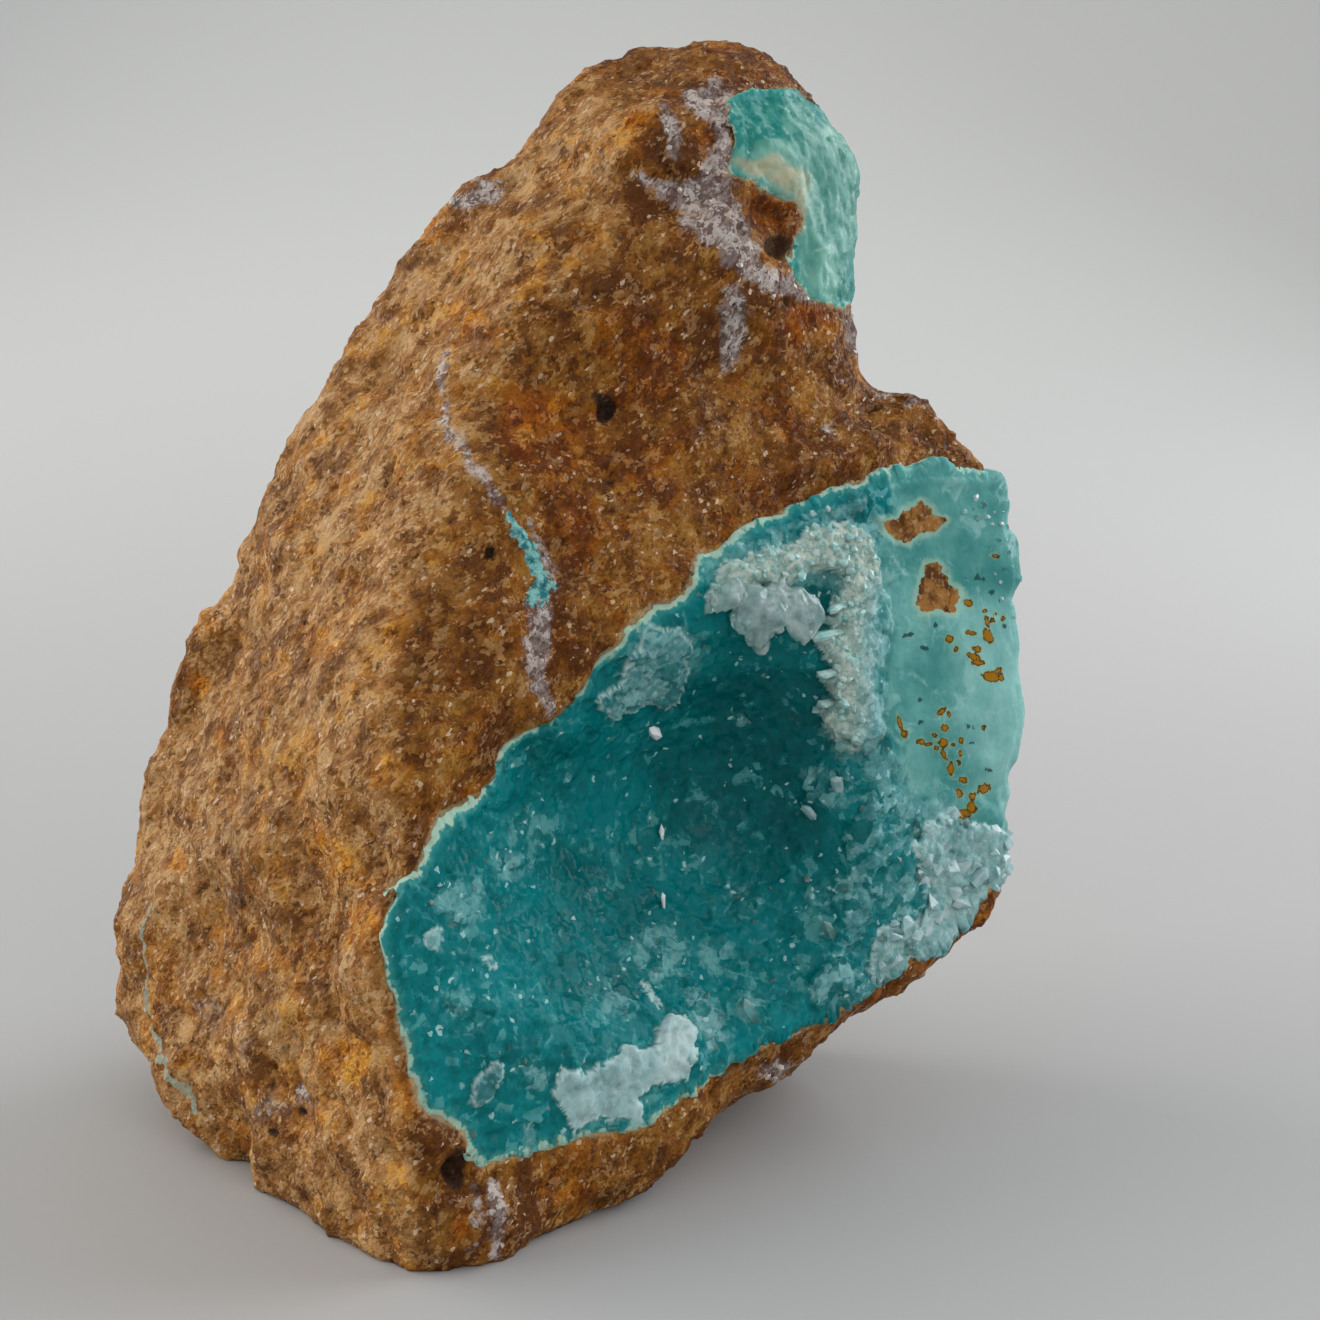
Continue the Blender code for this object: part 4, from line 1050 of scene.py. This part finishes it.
def make_lining(rock):
    piece = remeshed("chrysocolla_lining", "chrysocolla_face", LINING_VOXEL)
    mesh = piece.data
    outer = normals_of(mesh) @ FACE_NORMAL > 0.05
    refine_where(piece, outer & (facing_camera(places_of(mesh), normals_of(mesh)) > 0.5))
    places = smoothed(places_of(mesh), edges_of(mesh), 8, 0.8)
    move_to(mesh, pushed(places, step(node_distances(places, "host_rock"), 5.0, 1.5)))
    spotted = inside_spots(*pixel_of(places_of(mesh)), ORANGE_SPOTS + BLACK_SPOTS) > -0.30
    refine_where(piece, spotted & (normals_of(mesh) @ FACE_NORMAL > 0.2))
    places, normals = places_of(mesh), normals_of(mesh)
    across, down = pixel_of(places)
    x, y = face_place(places)
    outward = normals @ FACE_NORMAL
    top, side = step(outward, 0.0, 0.4), 1.0 - step(outward, 0.15, 0.75)

    slab = slab_inside(x, y)
    milk, milk_edge, height = milk_of(places, across, down)
    deep = zones(across, down, DEEP_ZONES)
    rough = (1.0 - 0.85 * step(slab, -0.4, 0.8)) * (1.0 - 0.55 * np.minimum(deep, 1.0) * (1.0 - milk))
    warped = places + 0.35 * stirring(places, 1.1, (201, 202, 203))
    rise = rough * (0.20 * facets(warped, 1.55, 80) + 0.12 * facets(warped, 0.80, 85))
    rise += 0.12 * rough * fractal(places, 2.6, 3, 31) + 0.05 * fractal(places, 3.0, 2, 35)
    sharp = milk * (1.0 - 0.7 * step(down, 960, 1000)) * (1.0 - 0.5 * step(across, 900, 930))
    rise += height + 0.28 * sharp * facets(warped, 1.25, 87) + 0.16 * sharp * facets(warped, 0.60, 88)
    rimmed = step(node_distances(places, "host_rock"), 1.3, 0.7) * step(x, 27.0, 25.0)
    rise = rise * (1.0 - 0.6 * rimmed) + 0.16 * rimmed
    scallop = 0.45 * value_noise(places, 3.4, 40) + 0.40 * value_noise(places, 1.6, 41)
    scallop += 0.24 * value_noise(places, 0.8, 42)
    scallop += 0.30 * step(x, 22.0, 24.0) * value_noise(places, 2.6, 43)
    spread = np.maximum(0.76 + scallop, 0.30) + 1.5 * zones(across, down, OVERHANG_ZONES)
    places = places + normals * (rise * top + spread * side)[:, None]
    move_to(mesh, places)

    thin = 0.11 - 0.13 * zones(across, down, WIDE_RIM_ZONES)
    thin += 0.50 * step(across, 690, 790) * step(down, 820, 880)
    iron = np.max([inside_outline(across, down, outline) for outline in INCLUSION_OUTLINES], axis=0)
    shown = outward > -0.2
    soft = step(milk, 0.40, 0.60) * np.maximum(step(down, 985, 1010), 0.5 * step(across, 905, 935))
    dress(
        mesh, haze=zones(across, down, HAZE_ZONES) * step(outward, -0.2, 0.2), deep=deep, soft=soft,
        milk=milk * top, milk_edge=milk_edge * top, warm=0.5 * step(milk, 0.93, 0.99) * step(down, 900, 800),
        slab=np.minimum(slab, 2.5 + 14.0 * step(down, 560, 660)), ochre=0.0, moss=0.0,
        rim=distances(places, surface_tree(rock)) + thin,
        iron=np.where(shown, iron / PIXELS_PER_MM, HIDDEN),
        orange=np.where(shown, inside_spots(across, down, ORANGE_SPOTS), HIDDEN),
        black=np.where(shown, inside_spots(across, down, BLACK_SPOTS), HIDDEN),
    )
    return piece


def make_patch(rock):
    piece = remeshed("chrysocolla_patch_skin", "chrysocolla_patch", PATCH_VOXEL)
    mesh = piece.data
    places = pushed(smoothed(places_of(mesh), edges_of(mesh), 5, 0.8), 1.0)
    move_to(mesh, places)
    normals = normals_of(mesh)
    outward = normals @ PATCH_NORMAL
    across, down = pixel_of(places)
    rise = 0.16 * fractal(places, 2.0, 3, 51)
    rise += 0.10 * facets(places, 1.3, 90) + 0.05 * facets(places, 0.6, 95)
    spread = (0.50 + 0.20 * value_noise(places, 1.2, 45)) * (1.0 - step(outward, 0.15, 0.75))
    places = places + normals * (rise * step(outward, 0.0, 0.4) + spread)[:, None]
    move_to(mesh, places)

    across = across + 5.0 * value_noise(places, 1.3, 431)
    down = down + 5.0 * value_noise(places, 1.3, 433)
    pale = zones(across, down, PATCH_PALE_ZONES)
    dark = zones(across, down, PATCH_DARK_ZONES)
    dress(
        mesh, haze=0.05 + 0.25 * pale, milk_edge=0.0, moss=0.7 * dark, warm=0.8, soft=0.3,
        milk=np.clip(0.40 * pale + 0.12 * facets(places, 0.9, 441) - 0.08, 0.0, 0.5),
        deep=0.4 * dark - 0.30, slab=0.05 + 4.2 * pale - 1.0 * dark,
        rim=0.22 + distances(places, surface_tree(rock)), iron=HIDDEN, orange=HIDDEN, black=HIDDEN,
        ochre=0.7 * zones(across, down, PATCH_CREAM_ZONES),
    )
    return piece


# ---------------------------------------------------------------- quartz crystals


class Points:
    """Six-sided quartz points collected for one joined mesh."""

    def __init__(self):
        self.feet, self.axes, self.sizes = [], [], []

    def add(self, foot, axis, radius, length, sink=0.4, flatness=1.0, sharp=1.0):
        self.feet.append(foot)
        self.axes.append(unit(axis))
        self.sizes.append((radius, length, sink, flatness, sharp))

    def corners(self, rng):
        """Each point's six corners at the foot, six at the shoulder, and its tip."""
        feet, axes = np.array(self.feet), np.array(self.axes)
        radius, length, sink, flatness, sharp = np.array(self.sizes).T
        count = len(feet)
        helper = np.where(np.abs(axes[:, 2:]) > 0.9, (1.0, 0.0, 0.0), (0.0, 0.0, 1.0))
        first = unit(np.cross(axes, helper))
        second = np.cross(axes, first) * flatness[:, None]

        def corner(up, right, ahead):
            return feet + axes * up[:, None] + first * right[:, None] + second * ahead[:, None]

        spin = rng.uniform(0.0, math.pi / 3, count)
        tip = np.minimum(radius * rng.uniform(0.7, 1.35, count) * sharp, 0.75 * (length + sink))
        lean = rng.uniform(-0.3, 0.3, (count, 2)) * radius[:, None]
        foot_share = np.where(sharp > 2.0, 0.45, 0.92)
        foot, shoulder = [], []
        for k in range(6):
            wide = radius * (1.0 + 0.14 * np.sin(5.0 * spin + 2.4 * k))
            right, ahead = (turn(spin + k * math.pi / 3) * wide for turn in (np.cos, np.sin))
            foot.append(corner(-sink, right * foot_share, ahead * foot_share))
            slip = 0.22 * tip * np.sin(2.0 * math.pi * k / 3.0 + 7.0 * spin)
            shoulder.append(corner(length - tip + slip, right, ahead))
        return np.stack([*foot, *shoulder, corner(length, *lean.T)], axis=1)

    def piece(self, name, rng):
        corners = self.corners(rng)
        pattern = [(5, 4, 3, 2, 1, 0)]
        for c, d in zip(range(6), (1, 2, 3, 4, 5, 0)):
            pattern += [(c, d, 6 + d, 6 + c), (6 + c, 6 + d, 12)]
        faces = [[13 * k + c for c in face] for k in range(len(corners)) for face in pattern]
        mesh = bpy.data.meshes.new(name)
        mesh.from_pydata(corners.reshape(-1, 3).tolist(), [], faces)
        mesh.update()
        return added(name, mesh)


def scattered(places, chosen, spacing, rng):
    """Picks vertices at random, none closer to another than its spacing."""
    cell = float(spacing[chosen].max())
    taken, picked = {}, []
    for index in rng.permutation(np.nonzero(chosen)[0]):
        place = places[index]
        x, y, z = (int(c) for c in np.floor(place / cell))
        around = (taken.get((x + i, y + j, z + k), ()) for i, j, k in product((-1, 0, 1), repeat=3))
        reach = spacing[index] ** 2
        if not any(np.sum((other - place) ** 2) < reach for others in around for other in others):
            taken.setdefault((x, y, z), []).append(place)
            picked.append(index)
    return picked


def seen_on(tree, across, down):
    """Place on a surface where a sight line meets it."""
    place = tree.ray_cast(Vector(CAMERA_PLACE), Vector(sight_line(across, down)))[0]
    if place is None:
        raise RuntimeError(f"nothing of the stone is seen at {across}, {down}")
    return np.array(place)


def make_druse(lining, tree, rng):
    """The crust of small crystals on the lining, one piece for each kind."""
    mesh = lining.data
    places, normals = places_of(mesh), normals_of(mesh)
    x, y = face_place(places)
    across, down = pixel_of(places)
    rim = np.where(x > 24.0, 5.0, inside_outline(x, y, POCKET_OUTLINE))
    haze = zones(across, down, HAZE_ZONES) + 0.55 * fractal(places, 2.2, 3, 71)
    milk, _, _ = milk_of(places, across, down)
    icy = (milk > 0.7) & (across > 860) & (down > 800)
    corner = zones(across, down, CORNER_ZONES) > 0.4
    chosen = (normals @ FACE_NORMAL > 0.25) & (rim > 0.45) & ~((down > 1000) & (milk > 0.5))
    chosen &= (slab_inside(x, y) < -0.2) | (milk > 0.6) | corner
    spacing = np.where(haze > 0.55, 2.0, 5.0) + 0.3 * value_noise(places, 3.0, 77)
    spacing = spacing + 2.0 * zones(across, down, DEEP_ZONES) * (milk < 0.2)
    spacing = np.select((icy, corner, milk > 0.85, milk > 0.3), (1.05, 0.80, 0.52, 2.2), spacing)
    # Where each kind grows, how it leans, the share of clear ones, and its radii and heights.
    growth = (
        ("icy", icy, 0.35, 0.15, (0.30, 1.00), (0.02, 0.45)),
        ("icy", corner, 0.5, 0.5, (0.12, 0.28), (0.02, 0.30)),
        ("milky", milk > 0.85, 0.55, 0.0, (0.14, 0.42), (0.02, 0.24)),
        ("hazy", milk <= 0.85, 0.38, 0.0, (0.16, 0.42), (0.02, 0.20)),
    )
    kinds = {kind: Points() for kind in ("clear", "hazy", "icy", "milky", "white_highlight")}
    for index in scattered(places, chosen, spacing, rng):
        tilt = rng.normal(size=3)
        kind, _, lean, clear, radii, heights = next(row for row in growth if row[1][index])
        if clear and rng.random() < clear:
            kind = "clear"
        axis = normals[index] + lean * tilt
        kinds[kind].add(places[index], axis, rng.uniform(*radii), rng.uniform(*heights))
    for foot_u, foot_v, tip_u, tip_v, radius, lift, kind in STANDING_CRYSTALS:
        foot = seen_on(tree, foot_u, foot_v)
        axis = slid(foot + lift * FACE_NORMAL, tip_u, tip_v) - foot
        sink, sharp = (0.3, 2.6) if kind == "white_highlight" else (0.8, 1.0)
        kinds[kind].add(foot, axis, radius, float(np.linalg.norm(axis)), sink, 0.8, sharp)
    return {kind: points.piece(f"{kind}_quartz", rng) for kind, points in kinds.items()}


def make_lumps(tree, rng):
    """Rounded lumps of quartz that grew together, as one closed mesh with soft crystal faces."""
    body = bmesh.new()
    for across, down, wide, tall, thick, turn, lift in MILKY_LUMPS:
        directions = unit(rng.normal(size=(LUMP_POINTS, 3)))
        sides = directions * (wide, tall, thick) * rng.uniform(0.94, 1.06, (LUMP_POINTS, 1))
        cosine, sine = math.cos(turn), math.sin(turn)
        ways = (FACE_ACROSS * cosine + FACE_UP * sine, FACE_UP * cosine - FACE_ACROSS * sine, FACE_NORMAL)
        points = seen_on(tree, across, down) + lift * FACE_NORMAL + sides @ np.array(ways)
        hull = bmesh.ops.convex_hull(body, input=[body.verts.new(point) for point in points])
        spare = {v for v in hull["geom_interior"] + hull["geom_unused"] if isinstance(v, bmesh.types.BMVert)}
        bmesh.ops.delete(body, geom=list(spare), context="VERTS")
    bmesh.ops.recalc_face_normals(body, faces=body.faces)
    mesh = bpy.data.meshes.new("milky_lumps")
    body.to_mesh(mesh)
    body.free()
    piece = evened("milky_lumps", mesh, LUMP_VOXEL)
    mesh = piece.data
    edges = edges_of(mesh)
    places = smoothed(places_of(mesh), edges, 6, 1.0)
    move_to(mesh, places)
    rise = 0.16 * facets(places, 1.0, 300) + 0.064 * facets(places, 0.5, 320)
    move_to(mesh, smoothed(places + normals_of(mesh) * rise[:, None], edges, 1, 0.5))
    dress(mesh)
    return piece


def make_rock_quartz(rock, rng):
    """Small grey crystals where quartz shows in the rock."""
    mesh = rock.data
    places, normals = places_of(mesh), normals_of(mesh)
    across, down = pixel_of(places)
    veins = step(inside_quartz(across, down), -0.35, 0.25)
    share = np.maximum(zones(across, down, ROCK_ZONES["quartz"]), veins)
    share = share * front_of(places, normals) + 0.35 * fractal(places, 1.6, 2, 91)
    points = Points()
    for index in scattered(places, share > 0.78, np.full(len(places), 1.0), rng):
        axis = normals[index] + 0.5 * rng.normal(size=3)
        points.add(places[index], axis, rng.uniform(0.12, 0.32), rng.uniform(0.02, 0.30))
    return points.piece("rock_quartz", rng)


# ---------------------------------------------------------------- the room


def make_camera():
    data = bpy.data.cameras.new("camera")
    data.sensor_width = 36.0
    data.lens = FOCAL_LENGTH / VIEW_SIZE * data.sensor_width
    data.clip_start = 0.005
    data.clip_end = 20.0
    camera = added("camera", data)
    camera.location = Vector(CAMERA_PLACE) * MM
    camera.rotation_euler = (math.pi / 2 - CAMERA_DIP, 0.0, 0.0)
    bpy.context.scene.camera = camera


def make_lights():
    """Soft window light from both sides, and a dim wall of light all round."""
    for name, (place, target, size, power, colour) in LIGHTS.items():
        data = bpy.data.lights.new(name, "AREA")
        data.shape = "RECTANGLE"
        data.size, data.size_y = size
        data.energy = power
        data.color = colour
        light = added(name, data)
        light.location = place
        light.rotation_euler = (Vector(target) - Vector(place)).to_track_quat("-Z", "Y").to_euler()
    world = bpy.data.worlds.new("room")
    world.use_nodes = True
    background = world.node_tree.nodes["Background"]
    background.inputs["Color"].default_value = (0.86, 0.88, 0.90, 1.0)
    background.inputs["Strength"].default_value = 0.54
    bpy.context.scene.world = world
    bpy.context.scene.view_settings.view_transform = "Standard"


def make_floor():
    """A pale floor that sweeps up far behind the stone."""
    bend = [math.pi / 32 * k for k in range(1, 17)]
    curve = [(0.30 + 1.1 * math.sin(angle), 1.1 - 1.1 * math.cos(angle)) for angle in bend]
    profile = [(-1.2, 0.0), (0.30, 0.0), *curve, (1.4, 2.2)]
    sweep = bmesh.new()
    rows = [[sweep.verts.new((x, y, z)) for x in (-2.5, 2.5)] for y, z in profile]
    for lower, upper in zip(rows, rows[1:]):
        face = sweep.faces.new((*lower, *reversed(upper)))
        face.smooth = True
    mesh = bpy.data.meshes.new("floor")
    sweep.to_mesh(mesh)
    sweep.free()
    mesh.materials.append(floor_material())
    added("floor", mesh)


def main():
    make_camera()
    make_floor()
    make_lights()
    rng = np.random.default_rng(SEED)
    rock = make_rock()
    lining = make_lining(rock)
    patch = make_patch(rock)
    tree = surface_tree(lining)
    druse = make_druse(lining, tree, rng)
    milky_lumps = make_lumps(tree, rng)
    rock_quartz = make_rock_quartz(rock, rng)

    teal = lining_material()
    quartz = {kind: quartz_material(f"{kind}_quartz", *look) for kind, look in QUARTZ_LOOKS.items()}
    finish_piece(rock, rock_material(), "host_rock", "host_rock")
    finish_piece(lining, teal, "chrysocolla", "chrysocolla_face")
    finish_piece(patch, teal, "chrysocolla", "chrysocolla_patch")
    finish_piece(druse["clear"], quartz["clear"], "quartz", "quartz_crust")
    for kind in ("hazy", "milky", "icy", "white_highlight"):
        finish_piece(druse[kind], quartz[kind], "quartz")
    finish_piece(milky_lumps, quartz["cloudy"], "quartz")
    finish_piece(rock_quartz, quartz["grey"], "quartz")


main()
